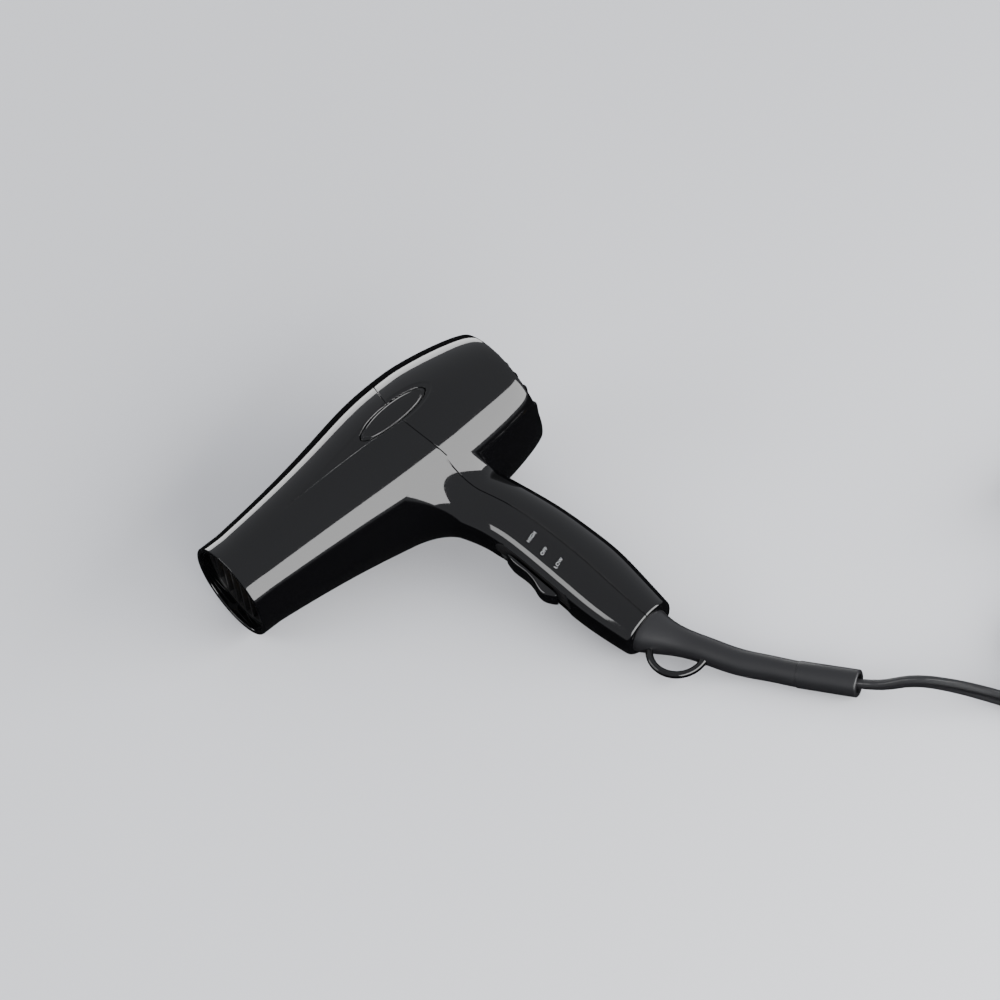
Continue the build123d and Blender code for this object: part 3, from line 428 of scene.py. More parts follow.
def moulded(name, colour, roughness, size=0.6, depth=0.01):
    """A plain moulded or pressed plastic, paper or ceramic, with its grain in millimetres."""
    material, tree, shader = finish_of(name, colour, roughness, 1.5)
    grain(tree, shader, size, depth, (roughness * 0.9, roughness * 1.15))
    return material


def pad_printed_white():
    """White pad-printing ink, a thin satin film."""
    material, tree, shader = finish_of("pad printed white", "#d9dadb", 0.5, 1.45)
    grain(tree, shader, 0.2, 0.003)
    return material


# ---------------------------------------------------------------- settings


class DryerFinish(bpy.types.PropertyGroup):
    body_colour: FloatVectorProperty(
        name="Body colour", description="Pigment of the polished shells", subtype="COLOR", size=3,
        default=linear("#060607"), min=0, max=1,
    )
    label_height: FloatProperty(
        name="Label height", description="Height of the switch's printed capitals", default=0.0019,
        unit="LENGTH", min=0.001, max=0.006,
    )


class DryerCord(bpy.types.PropertyGroup):
    width: FloatProperty(
        name="Cord width", description="Wide side of the flat two-core cord", default=CORD_WIDTH * MM,
        unit="LENGTH", min=0.005, max=0.012,
    )
    thickness: FloatProperty(
        name="Cord thickness", description="Narrow side of the flat two-core cord",
        default=CORD_THICKNESS * MM, unit="LENGTH", min=0.003, max=0.006,
    )


class DryerStage(bpy.types.PropertyGroup):
    floor_colour: FloatVectorProperty(
        name="Floor colour", description="The plain pale surface", subtype="COLOR", size=3,
        default=linear("#e4e5e9"), min=0, max=1,
    )
    key_power: FloatProperty(
        name="Key power", description="Radiance of the low softbox beside the handle", default=9.0,
        min=0, max=60,
    )
    lens: FloatProperty(
        name="Lens", description="Focal length of the studio camera, in millimetres", default=250.0,
        min=35, max=400,
    )


# ---------------------------------------------------------------- outlines of the body


def barrel_outline():
    """The barrel's radius as x runs from the nozzle's face to the rear rim: a straight seat, a
    cubic Bezier out to the belly and another in to the rear rim."""
    t = np.linspace(0, 1, 1500)[:, None]
    seat_x = NOZZLE_X + SEAT_LENGTH
    flare = BELLY_X - seat_x
    crown = REAR_X - BELLY_X
    front = (
        (seat_x, NOZZLE_RADIUS),
        (seat_x + 0.66 * flare, NOZZLE_RADIUS + 0.06 * flare),
        (BELLY_X - 0.34 * flare, BELLY_RADIUS),
        (BELLY_X, BELLY_RADIUS),
    )
    rear = (
        (BELLY_X, BELLY_RADIUS),
        (BELLY_X + 0.36 * crown, BELLY_RADIUS),
        (REAR_X - 0.05 * crown, REAR_RADIUS + 0.06 * crown),
        (REAR_X, REAR_RADIUS),
    )
    curves = [
        (1 - t) ** 3 * np.array(a) + 3 * t * (1 - t) ** 2 * np.array(b) + 3 * t**2 * (1 - t) * np.array(c)
        + t**3 * np.array(d)
        for a, b, c, d in (front, rear)
    ]
    return np.concatenate([[(NOZZLE_X, NOZZLE_RADIUS)], *curves])


OUTLINE = barrel_outline()


def barrel_radius(x):
    """The barrel's radius at x."""
    return np.interp(x, OUTLINE[:, 0], OUTLINE[:, 1])


def barrel_slope(x):
    """The change of the barrel's radius with x."""
    return (barrel_radius(x + 0.5) - barrel_radius(x - 0.5)) / 1.0


def seam_x(side):
    """The seam's x where a point of the barrel stands out by side, the share of its radius
    towards the left or right: it bows forward with the cube of that share."""
    return -SEAM_BOW * np.abs(side) ** 3


def oval_reach(x, y):
    """Distance in from the oval's edge, in millimetres, below nothing outside it."""
    a, b = OVAL_LENGTH / 2, OVAL_HEIGHT / 2
    u, v = (x - OVAL_X) / a, (y - OVAL_Y) / b
    level = np.sqrt(u**2 + v**2) + 1e-9
    steep = np.sqrt((u / a) ** 2 + (v / b) ** 2) / level + 1e-9
    return (1 - level) / steep


def side_relief(x, y):
    """How far the skin sinks on the barrel's sides: a small step inside a teardrop, whose
    half height is an ellipse behind its widest place and a power curve ahead of it, and the
    oval's window inside that."""
    ahead = np.clip((TEAR_X - x) / TEAR_FRONT, 0, 1)
    behind = np.clip((x - TEAR_X) / TEAR_REAR, 0, 1)
    half = TEAR_HALF * np.where(x < TEAR_X, (1 - ahead) ** 1.9, np.sqrt(1 - behind**2))
    inside = (half - np.abs(y - OVAL_Y)) * np.where(x < TEAR_X, 1, 0.35 + 0.65 * np.sqrt(1 - behind**2))
    tear = TEAR_SINK * smoothstep(inside / TEAR_EDGE) * smoothstep((x - TEAR_X + TEAR_FRONT + 6) / 20)
    window = WINDOW_SINK * smoothstep(0.5 + (oval_reach(x, y) + 0.15) / 0.5)
    return tear + window


def barrel_points(x, angle, inset, relief=True):
    """Points of the barrel: turned about X by angle from its left side, below its skin by inset."""
    radius = barrel_radius(x) - inset
    y, z = radius * np.sin(angle), radius * np.cos(angle)
    if relief:
        sunk = radius - side_relief(x, y)
        y, z = sunk * np.sin(angle), sunk * np.cos(angle)
    return np.stack(np.broadcast_arrays(x, y, z), -1)


def barrel_angles():
    """Angles round the barrel, close together over the ovals on its two sides."""
    fine, mid, coarse = (math.degrees(s / BELLY_RADIUS) for s in (0.27, 0.55, 2.2))
    low, top, edge = -10, 15, 24
    left = stretches((-edge, low, mid), (low, top, fine), (top, edge, mid), (edge, 180 - edge, coarse))
    right = stretches(
        (180 - edge, 180 - top, mid), (180 - top, 180 - low, fine), (180 - low, 180 + edge, mid),
    )
    last = stretches((180 + edge, 360 - edge, coarse))
    return np.radians(np.concatenate([left[:-1], right[:-1], last[:-1]]))


def handle_wall(y, angle, inset=0.0):
    """x and z of the handle's skin at height y and an angle from its rear: an ellipse whose
    middle, half width and half thickness follow the stations."""
    share = -y / HANDLE_DEPTH
    middle = HANDLE_OFFSET * spline(share, 1)
    half = HANDLE_HALF * spline(share, 2) - inset
    edge = HANDLE_EDGE * spline(share, 3) - inset
    return middle + half * np.cos(angle), edge * np.sin(angle)


def junction(angle):
    """Three control points of the fillet between barrel and handle, at each angle: one on the
    barrel, the corner where the barrel's tangent meets the handle's, and one on the handle."""
    reach = FILLET_REAR + FILLET_GAIN * np.abs(np.sin(angle / 2))
    y = np.full_like(angle, -36.0)
    for _ in range(8):
        x, z = handle_wall(y, angle)
        y = -np.sqrt(barrel_radius(x) ** 2 - z**2)
    out = np.stack([np.cos(angle) / HANDLE_HALF, np.sin(angle) / HANDLE_EDGE], -1)
    out /= np.linalg.norm(out, axis=-1, keepdims=True)
    x0, z0 = x + reach * out[..., 0], z + reach * out[..., 1]
    y0 = -np.sqrt(barrel_radius(x0) ** 2 - z0**2)
    fall_x = barrel_radius(x0) * barrel_slope(x0) / y0
    fall_z = -z0 / y0
    x1, z1 = x, z
    for _ in range(4):
        y1 = y0 + fall_x * (x1 - x0) + fall_z * (z1 - z0)
        y2 = y1 - FILLET_DROP * reach
        x2, z2 = handle_wall(y2, angle)
        x3, z3 = handle_wall(y2 - 1, angle)
        x1 = x2 + (x2 - x3) * (y1 - y2)
        z1 = z2 + (z2 - z3) * (y1 - y2)
    return [np.stack(p, -1) for p in ((x0, y0, z0), (x1, y1, z1), (x2, y2, z2))]


# The switch runs down the front of the handle, along the line between two nearby stations.
def front_edge(depth):
    """The handle's front edge at a depth, upright."""
    x, z = handle_wall(np.array(-depth), np.array(math.pi))
    return np.array([float(x), -depth, 0.0])


STEP = 10.0
SLIDE = front_edge(SWITCH_DEPTH + STEP) - front_edge(SWITCH_DEPTH - STEP)
SLIDE = SLIDE / np.linalg.norm(SLIDE)
SWITCH_OUT = np.array([SLIDE[1], -SLIDE[0], 0.0])
SWITCH_MIDDLE = front_edge(SWITCH_DEPTH)


def switch_sink(points):
    """How far the handle's skin sinks for the switch's surround, inside a slot's outline."""
    along = (points - SWITCH_MIDDLE) @ SLIDE
    straight = (SURROUND_LENGTH - SURROUND_WIDTH) / 2
    past = np.maximum(np.abs(along) - straight, 0)
    reach = SURROUND_WIDTH / 2 + 0.1 - np.hypot(past, points[..., 2])
    return SURROUND_SINK * smoothstep(0.5 + reach / 0.5) * (points[..., 0] < SWITCH_MIDDLE[0] + 8)


def handle_half(front):
    """The front or rear half of the handle as one grid: each column runs from the barrel down
    the fillet, a quadratic Bezier, down the wall, round the rim and in to the cord's mouth. The
    outer columns turn in at the seam."""
    gap = SEAM_GAP / HANDLE_HALF
    turned = np.array([0.0, 0.0, 0.05, 0.14, 0.3]) / HANDLE_HALF + gap
    insets = np.array([2.0, 0.6, 0.22, 0.06, 0.0])
    quarter = math.pi / 2
    if front:
        inner = stretches(
            (quarter + 0.03, math.pi - 0.52, 0.05), (math.pi - 0.52, math.pi + 0.52, 0.02),
            (math.pi + 0.52, 3 * quarter - 0.03, 0.05),
        )
        angle = np.concatenate([quarter + turned, inner, 3 * quarter - turned[::-1]])
    else:
        inner = stretches((-quarter + 0.03, quarter - 0.03, 0.05))
        angle = np.concatenate([-quarter + turned, inner, quarter - turned[::-1]])
    inset = np.concatenate([insets, np.zeros(len(inner)), insets[::-1]])
    a, b, c = junction(angle)
    t = np.linspace(0, 1, 22)[:, None, None]
    fillet = (1 - t) ** 2 * a + 2 * t * (1 - t) * b + t**2 * c
    # The fillet sinks with the seam's turned columns too, towards the handle's middle.
    middle_x = HANDLE_OFFSET * spline(-fillet[..., 1] / HANDLE_DEPTH, 1)
    middle = np.stack([middle_x, fillet[..., 1], 0 * fillet[..., 2]], -1)
    inward = middle - fillet
    inward /= np.linalg.norm(inward, axis=-1, keepdims=True)
    fillet = fillet + inward * inset[None, :, None]
    skirt = fillet[:1] * np.array([1, 0.985, 0.985])

    end_x, _ = handle_wall(np.full_like(angle, -HANDLE_DEPTH), angle)
    end_middle = HANDLE_OFFSET * spline(1.0, 1)
    end_y = -HANDLE_DEPTH + (end_x - end_middle) * math.tan(END_TILT)
    share = stretches((0, 0.19, 0.02), (0.19, 0.73, 0.0038), (0.73, 1, 0.02))[1:, None]
    start_y = c[:, 1]
    y = start_y + (end_y + END_RIM - start_y) * share
    x, z = handle_wall(y, angle, inset)
    wall = np.stack([x, y, z], -1)
    if front:
        out = np.stack([np.cos(angle) / HANDLE_HALF, np.zeros_like(angle), np.sin(angle) / HANDLE_EDGE], -1)
        out /= np.linalg.norm(out, axis=-1, keepdims=True)
        wall = wall - out * switch_sink(wall)[..., None]
    bend = np.linspace(0, math.pi / 2, 7)[1:, None]
    rim_y = end_y + END_RIM * (1 - np.sin(bend))
    x, z = handle_wall(rim_y, angle, inset + END_RIM * (1 - np.cos(bend)))
    rim = np.stack([x, rim_y, z], -1)
    mouth = np.stack([
        end_middle + MOUTH_RADIUS * np.cos(angle),
        -HANDLE_DEPTH + MOUTH_RADIUS * np.cos(angle) * math.tan(END_TILT),
        MOUTH_RADIUS * np.sin(angle),
    ], -1)
    face = rim[-1] + (mouth - rim[-1]) * np.linspace(0, 1, 5)[1:, None, None]
    inside = (mouth + np.array([0, 3.0, 0]))[None]
    return np.concatenate([skirt, fillet, wall, rim, face, inside])


def barrel_shell(front):
    """One barrel shell as a closed profile turned about the axis: out along the skin, round the
    rim, back along the inner wall. The rows between the rim and the seam stretch with the seam's bow."""
    angle = barrel_angles()
    edge = seam_x(np.cos(angle))
    round_off = 0.7
    turn = np.linspace(0, math.pi, 9)
    tip = round_off * (1 - np.sin(turn))
    tip_inset = round_off * (1 - np.cos(turn)) + np.where(turn < math.pi / 2, 0, WALL - 2 * round_off)
    if front:
        rim = NOZZLE_X
        share = stretches((0.012, 0.12, 0.012), (0.12, 0.68, 0.013), (0.68, 1.0, 0.0025))
        sign = 1
    else:
        rim = REAR_X
        share = stretches((0.02, 0.58, 0.04), (0.58, 1.0, 0.0045))
        sign = -1
    run = edge - rim
    seam_rows = ((0.25, 0.0), (0.08, 0.05), (0.0, 0.2), (0.0, 0.8), (0.0, WALL))
    skin = rim + share[:-1, None] * (run - sign * (SEAM_GAP + 0.3))
    outer = barrel_points(skin, angle, 0.0)
    seam = np.stack([
        barrel_points(edge - sign * (SEAM_GAP + back), angle, sink, sink < 1) for back, sink in seam_rows
    ])
    inner_share = np.linspace(1, 0.012, 12)[1:, None]
    inner = barrel_points(rim + inner_share * run, angle, WALL, False)
    round_rim = np.stack([
        barrel_points(rim + sign * back + 0 * angle, angle, sink, False)
        for back, sink in zip(tip[::-1], tip_inset[::-1])
    ])
    return np.concatenate([outer, seam, inner, round_rim])


# ---------------------------------------------------------------- pieces


def body_material():
    """The polished finish, made once and shared by the pieces that have it."""
    found = bpy.data.materials.get("polished black ABS")
    return found or polished_black_abs(tuple(bpy.context.scene.dryer_finish.body_colour))


class DRYER_OT_shells(bpy.types.Operator):
    """Front and rear shells: barrel and handle halves that meet at the seam"""

    bl_idname = "dryer.shells"
    bl_label = "Shells"

    def execute(self, context):
        for name, front in (("front_shell", True), ("rear_shell", False)):
            shell = barrel_shell(front)
            half = handle_half(front)
            grids = [
                (laid(shell), {"around": True, "along": True, "flip": not front}),
                (laid(half), {}),
            ]
            piece = mesh_of(name, grids, body_material(), "housing", 50)
            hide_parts("front_housing" if front else "rear_housing")
        return {"FINISHED"}


class DRYER_OT_inlays(bpy.types.Operator):
    """Oval side inlays: polished plates sunk in the barrel's sides, each with a raised ring"""

    bl_idname = "dryer.inlays"
    bl_label = "Side Inlays"

    def execute(self, context):
        ring = np.linspace(0, 2 * math.pi, 120, endpoint=False)
        share = np.concatenate([np.linspace(0.02, 0.80, 10), np.linspace(0.82, 0.985, 16), [1.0, 1.0]])
        a, b = OVAL_LENGTH / 2 - 0.25, OVAL_HEIGHT / 2 - 0.25
        x = OVAL_X + a * share[:, None] * np.cos(ring)
        y = OVAL_Y + b * share[:, None] * np.sin(ring)
        # A bead of 0.35 mm round the plate at nine tenths of its reach, and a rolled edge.
        bead = 0.35 * np.exp(-(((share - 0.90) / 0.03) ** 2))
        edge = np.where(np.arange(len(share)) >= len(share) - 2, [0.0] * (len(share) - 2) + [0.15, 1.0], 0.0)
        sink = (0.55 + OVAL_SINK * 0.4 - bead + edge)[:, None]
        for name, side in (("side_inlay_left", 1), ("side_inlay_right", -1)):
            radius = barrel_radius(x) - sink
            z = side * np.sqrt(radius**2 - y**2)
            grid = np.stack([x, y, z], -1)
            options = {"around": True, "cap_start": True, "flip": side < 0}
            piece = mesh_of(name + "_plate", [(laid(grid), options)], body_material(), "housing", 60)
            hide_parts(name)
        return {"FINISHED"}


class DRYER_OT_inlet(bpy.types.Operator):
    """Air inlet grille: round-backed bars across the barrel's rear, in a ring inside the rim"""

    bl_idname = "dryer.inlet"
    bl_label = "Inlet Grille"

    def execute(self, context):
        reach = REAR_RADIUS - WALL - 0.1
        around = np.linspace(0, 2 * math.pi, 96, endpoint=False)
        ring_profile = ((-4.0, 0.0), (-0.3, 0.0), (0.0, 0.3), (0.0, 1.1), (-0.3, 1.4), (-4.0, 1.4))
        back, inset = np.array(ring_profile).T
        radius = reach - inset[:, None]
        ring = np.stack([
            REAR_X + back[:, None] + 0 * around, radius * np.cos(around), radius * np.sin(around),
        ], -1)
        grids = [(laid(ring), {"around": True, "along": True})]
        # Each bar is a round-backed section along a chord, and its back falls at the ring.
        turn = np.linspace(0, math.pi, 13)
        for bar in range(INLET_BARS):
            level = (bar - (INLET_BARS - 1) / 2) * INLET_PITCH
            half = math.sqrt((reach - 0.7) ** 2 - level**2)
            share = np.sin(np.linspace(-math.pi / 2, math.pi / 2, 31))[:, None]
            rise = (INLET_PROUD + 1.0) * np.sqrt(1 - 0.9 * share**12)
            top = np.stack([
                REAR_X - 1.0 + rise * np.sin(turn) ** 0.8, level + INLET_BAR / 2 * np.cos(turn) + 0 * rise,
                half * share + 0 * turn,
            ], -1)
            foot = top[:, [-1, 0]] - np.array([3.0, 0, 0])
            grids.append((laid(np.concatenate([top, foot], 1)), CLOSED))
        piece = mesh_of("inlet_bars", grids, body_material(), "housing", 50)
        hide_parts("rear_grille")
        return {"FINISHED"}


class DRYER_OT_switch(bpy.types.Operator):
    """Slide switch: a wavy thumb knob, low at its upper end and high at its lower end"""

    bl_idname = "dryer.switch"
    bl_label = "Switch"

    def execute(self, context):
        half = KNOB_LENGTH / 2
        s = np.concatenate([[-1, -1, -0.995, -0.985], np.linspace(-0.97, 0.97, 64), [0.985, 0.995, 1, 1]])
        top = spline(s, knots=KNOB_SHARES, values=KNOB_LEVELS)
        rolled = np.clip((1 - np.abs(s)) / 0.04, 0, 1)
        top = KNOB_BOTTOM + (top - KNOB_BOTTOM) * np.sqrt(1 - (1 - rolled) ** 2)
        top[0] = top[-1] = KNOB_BOTTOM
        # Across: a superellipse of power 3 over the top, closed underneath.
        turn = np.linspace(0, math.pi, 25)
        across = np.sign(np.cos(turn)) * np.abs(np.cos(turn)) ** (2 / 3)
        lift = np.sin(turn) ** (2 / 3)
        narrow = (1 - 0.18 * np.clip(np.abs(s) - 0.8, 0, 1) / 0.2)[:, None]
        waist = narrow * (1 - 0.05 * np.sin(math.pi * s)[:, None])
        width = KNOB_WIDTH / 2 * waist * across
        height = KNOB_BOTTOM + (top[:, None] - KNOB_BOTTOM) * lift
        grid = (
            SWITCH_MIDDLE
            + s[:, None, None] * half * SLIDE
            + width[..., None] * np.array([0, 0, 1.0])
            + height[..., None] * SWITCH_OUT
        )
        piece = mesh_of("thumb_knob", [(laid(grid), CLOSED)], body_material(), "switch", 60)
        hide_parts("switch_knob")
        return {"FINISHED"}


def on_side(x, y):
    """z of the handle's left skin at x and y, from the ellipse of the section at y."""
    share = -y / HANDLE_DEPTH
    middle = HANDLE_OFFSET * spline(share, 1)
    half = HANDLE_HALF * spline(share, 2)
    edge = HANDLE_EDGE * spline(share, 3)
    across = (x - middle) / half
    return edge * np.sqrt(1 - across**2)


class DRYER_OT_labels(bpy.types.Operator):
    """Printed words HIGH, OFF and LOW on the handle's left side, beside the switch"""

    bl_idname = "dryer.labels"
    bl_label = "Labels"

    def execute(self, context):
        ink = pad_printed_white()
        size = context.scene.dryer_finish.label_height / MM
        across, down = math.cos(LABEL_LEAN), math.sin(LABEL_LEAN)
        for word, depth in LABELS:
            text = bpy.data.curves.new("text " + word, "FONT")
            text.body = word
            text.size = size / 0.72
            text.offset = -0.02 * size
            text.resolution_u = 4
            text.space_character = 1.08
            holder = bpy.data.objects.new("text " + word, text)
            context.scene.collection.objects.link(holder)
            context.view_layer.update()
            mesh = bpy.data.meshes.new_from_object(holder.evaluated_get(context.evaluated_depsgraph_get()))
            bpy.data.objects.remove(holder)
            flat = np.zeros(len(mesh.vertices) * 3)
            mesh.vertices.foreach_get("co", flat)
            flat = flat.reshape(-1, 3)
            flat[:, 0] *= LABEL_NARROWING
            x = LABEL_X + flat[:, 0] * across - flat[:, 1] * down
            y = -depth - size / 2 + flat[:, 0] * down + flat[:, 1] * across
            z = on_side(x, y) + INK_THICKNESS
            mesh.vertices.foreach_set("co", laid(np.stack([x, y, z], -1)).ravel())
            mesh.materials.clear()
            mesh.materials.append(ink)
            piece = bpy.data.objects.new("label_" + word.lower(), mesh)
            context.scene.collection.objects.link(piece)
            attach(piece, "housing")
        return {"FINISHED"}


def frames_along(path, across_hint):
    """Tangents and two cross directions along a path: across is square to the hint and the path."""
    tangent = np.gradient(path, axis=0)
    tangent /= np.linalg.norm(tangent, axis=1, keepdims=True)
    across = np.cross(across_hint, tangent)
    across /= np.linalg.norm(across, axis=1, keepdims=True)
    return tangent, across, np.cross(tangent, across)


def sleeve_axis(t):
    """The sleeve's axis from the handle's end to the collar: a cubic spline through its points,
    spaced by their distances, that leaves the handle's end face and runs into the collar."""
    start = np.array([HANDLE_OFFSET * float(spline(1.0, 1)), -HANDLE_DEPTH, 0])
    points = start + SLEEVE_OFFSETS
    steps = np.concatenate([[0], np.cumsum(np.linalg.norm(np.diff(points, axis=0), axis=1))])
    first = np.array(SLEEVE_LEAVES) / np.linalg.norm(SLEEVE_LEAVES)
    return spline(t * steps[-1], knots=steps, values=points, slopes=(first, COLLAR_HEADING))


class DRYER_OT_sleeve(bpy.types.Operator):
    """Cord sleeve with its collar, and the hang loop moulded on its front"""

    bl_idname = "dryer.sleeve"
    bl_label = "Sleeve and Loop"

    def execute(self, context):
        pvc = moulded_pvc()
        ring = np.linspace(0, 2 * math.pi, 56, endpoint=False)
        t = np.concatenate([[-0.02, 0.0], np.linspace(0.012, 1, 90)])
        path = sleeve_axis(np.clip(t, 0, 1))
        path[0] += np.array([-0.15, 1.4, 0])
        across_width = spline(t, knots=SLEEVE_SHARES, values=SLEEVE_WIDTHS)
        thickness = spline(t, knots=SLEEVE_SHARES, values=SLEEVE_THICKNESSES)
        _, across, up = frames_along(path, np.array([0, 0, 1.0]))
        tube = (
            path[:, None]
            + across[:, None] * (across_width[:, None] * np.cos(ring))[..., None]
            + up[:, None] * (thickness[:, None] * np.sin(ring))[..., None]
        )
        piece = mesh_of("sleeve", [(laid(tube), CLOSED)], pvc, "housing", 60)
        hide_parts("cord_sleeve")

        # Collar: a turned tube that widens a little to its rolled mouth.
        mouth = COLLAR_RADIUS - 0.35
        profile = np.array([
            (-0.6, 5.6), (-0.6, 6.0), (-0.45, 6.22), (0.0, 6.3), (8, 6.33), (16, 6.38),
            (26.8, COLLAR_RADIUS - 0.05), (27.4, COLLAR_RADIUS - 0.08),
            (COLLAR_LENGTH - 0.2, mouth), (COLLAR_LENGTH, mouth - 0.35), (COLLAR_LENGTH, 4.9),
            (COLLAR_LENGTH - 0.3, 4.5), (COLLAR_LENGTH - 2.0, 4.3), (COLLAR_LENGTH - 4.0, 0.3),
        ])
        start = sleeve_axis(np.array([1.0]))[0]
        _, across, up = frames_along(np.array([start, start + COLLAR_HEADING]), np.array([0, 0, 1.0]))
        collar = (
            start + profile[:, :1, None] * COLLAR_HEADING
            + profile[:, 1:, None] * (np.cos(ring)[:, None] * across[0] + np.sin(ring)[:, None] * up[0])
        )
        piece = mesh_of("collar", [(laid(collar), CLOSED)], pvc, "housing", 40)
        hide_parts("sleeve_collar")

        # Loop: a round wire on a half circle, thickened where it grows out of the sleeve.
        ends = []
        along = sleeve_axis(np.array([0.35, 0.37]))
        heading = (along[1] - along[0]) / np.linalg.norm(along[1] - along[0])
        front = np.array([heading[1], -heading[0], 0])
        front /= np.linalg.norm(front)
        for share in LOOP_ENDS:
            ends.append(sleeve_axis(np.array([share]))[0] + front * LOOP_DEPTH)
        chord = ends[1] - ends[0]
        half = np.linalg.norm(chord) / 2
        rise = LOOP_RADIUS
        radius = (half**2 + rise**2) / (2 * rise)
        middle = (ends[0] + ends[1]) / 2 + front * (rise - radius)
        swing = math.atan2(half, radius - rise)
        turn = np.linspace(-swing * 1.08, swing * 1.08, 90)
        side = chord / np.linalg.norm(chord)
        square = np.cross(np.cross(side, front), side)
        square /= np.linalg.norm(square)
        path = middle + radius * (np.cos(turn)[:, None] * square + np.sin(turn)[:, None] * side)
        _, across, up = frames_along(path, np.cross(side, square))
        near = np.abs(turn) / (swing * 1.08)
        wire = LOOP_WIRE + 0.9 * smoothstep((near - 0.80) / 0.16)
        loop = path[:, None] + wire[:, None, None] * (
            across[:, None] * np.cos(ring)[None, :, None] + up[:, None] * np.sin(ring)[None, :, None]
        )
        piece = mesh_of("loop", [(laid(loop), CLOSED)], body_material(), "housing", 60)
        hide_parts("hang_loop")
        return {"FINISHED"}


def cord_route():
    """Control points of the cord, in resting millimetres: out of the collar, down to the
    surface, and five turns and a half in two layers, each turn a circle with a short jog to the
    next, then out to the plug."""
    mouth = sleeve_axis(np.array([1.0]))[0]
    start = laid(mouth + COLLAR_HEADING * (COLLAR_LENGTH - 2)) / MM
    out = laid(mouth + COLLAR_HEADING * COLLAR_LENGTH) / MM
    heading = (out - start) / np.linalg.norm(out - start)
    points = [start, out + heading * 9]
    points += [np.array([out[0] + x, out[1] + y, height]) for x, y, height in LEAD_OFFSETS]
    ahead = np.array([*COIL_HEADING, 0]) / np.hypot(*COIL_HEADING)
    left = np.array([-ahead[1], ahead[0], 0])
    entry = points[-1] + ahead * ENTRY_ARM
    middle = np.array([entry[0], entry[1], 0]) + left * COIL_RADIUS
    n = np.arange(0, COIL_TURNS, 1 / COIL_STEPS)
    jogs = [smoothstep((n - turn + 0.14) / 0.14) for turn in (1, 2, 3, 4, 5)]
    radius = COIL_RADIUS + COIL_PITCH * (jogs[3] + jogs[4] - jogs[0] - jogs[1])
    height = CORD_WIDTH / 2 + 0.1 + COIL_LAYER * jogs[2]
    angle = math.atan2(-left[1], -left[0]) + 2 * math.pi * n
    coil = middle + np.stack([radius * np.cos(angle), radius * np.sin(angle), height], -1)
    last = middle + np.array([COIL_RADIUS, 0, 0])
    tail = [
        last + np.array([0, 1.0, CORD_WIDTH / 2 + 0.1 + COIL_LAYER]),
        last + np.array([0, 14.0, PLUG_LEVEL]),
        last + np.array([0, EXIT_ARM + 3.0, PLUG_LEVEL]),
    ]
    return np.concatenate([points, coil, tail]), out, last


class DRYER_OT_cord(bpy.types.Operator):
    """Flat two-core cord: out of the collar, down to the surface, wound in a neat coil"""

    bl_idname = "dryer.cord"
    bl_label = "Cord"

    def execute(self, context):
        route, out, _ = cord_route()
        curve = bpy.data.curves.new("cord route", "CURVE")
        curve.dimensions = "3D"
        curve.resolution_u = 5
        line = curve.splines.new("NURBS")
        line.points.add(len(route) - 1)
        line.points.foreach_set("co", np.column_stack([route * MM, np.ones(len(route))]).ravel())
        line.order_u = 3
        line.use_endpoint_u = True
        holder = bpy.data.objects.new("cord route", curve)
        context.scene.collection.objects.link(holder)
        context.view_layer.update()
        drawn = bpy.data.meshes.new_from_object(holder.evaluated_get(context.evaluated_depsgraph_get()))
        bpy.data.objects.remove(holder)
        path = np.zeros(len(drawn.vertices) * 3)
        drawn.vertices.foreach_get("co", path)
        path = path.reshape(-1, 3)
        keep = np.concatenate([[True], np.linalg.norm(np.diff(path, axis=0), axis=1) > 1e-6])
        path = path[keep]

        # Section: two round lobes joined by a web, wide side upright.
        settings = context.scene.dryer_cord
        half, lobe = settings.width / 2, settings.thickness / 2
        ring = np.linspace(0, 2 * math.pi, 36, endpoint=False)
        tall = half * np.cos(ring)
        round_part = np.sqrt(np.maximum(lobe**2 - (np.abs(tall) - (half - lobe)) ** 2, 0))
        web = np.where(np.abs(tall) < half - lobe, 0.72 * lobe, 0)
        thick = np.sign(np.sin(ring)) * np.maximum(round_part, web)
        _, across, up = frames_along(path, np.array([0, 0, 1.0]))
        run = np.concatenate([[0], np.cumsum(np.linalg.norm(np.diff(path, axis=0), axis=1))])
        # The flat cord leaves the collar leaning, and comes upright before the coil.
        lean = CORD_LEAN * (1 - smoothstep(run / (CORD_LEAN_RUN * MM)))[:, None]
        across, up = across * np.cos(lean) + up * np.sin(lean), up * np.cos(lean) - across * np.sin(lean)
        tube = path[:, None] + across[:, None] * thick[None, :, None] + up[:, None] * tall[None, :, None]
        piece = mesh_of("mains_cord", [(tube, CLOSED)], extruded_pvc(), "housing", 60)
        layer = piece.data.uv_layers.new(name="along")
        index = np.zeros(len(piece.data.loops), np.int32)
        piece.data.loops.foreach_get("vertex_index", index)
        round_share = np.tile(ring / (2 * math.pi), len(path))
        along = np.repeat(run / settings.width, len(ring))
        uv = np.stack([np.append(along, [0, 0]), np.append(round_share, [0, 0]) * 3], -1)
        layer.data.foreach_set("uv", uv[index].astype(np.float32).ravel())
        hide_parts("cord_lead", "cord_coil")
        return {"FINISHED"}


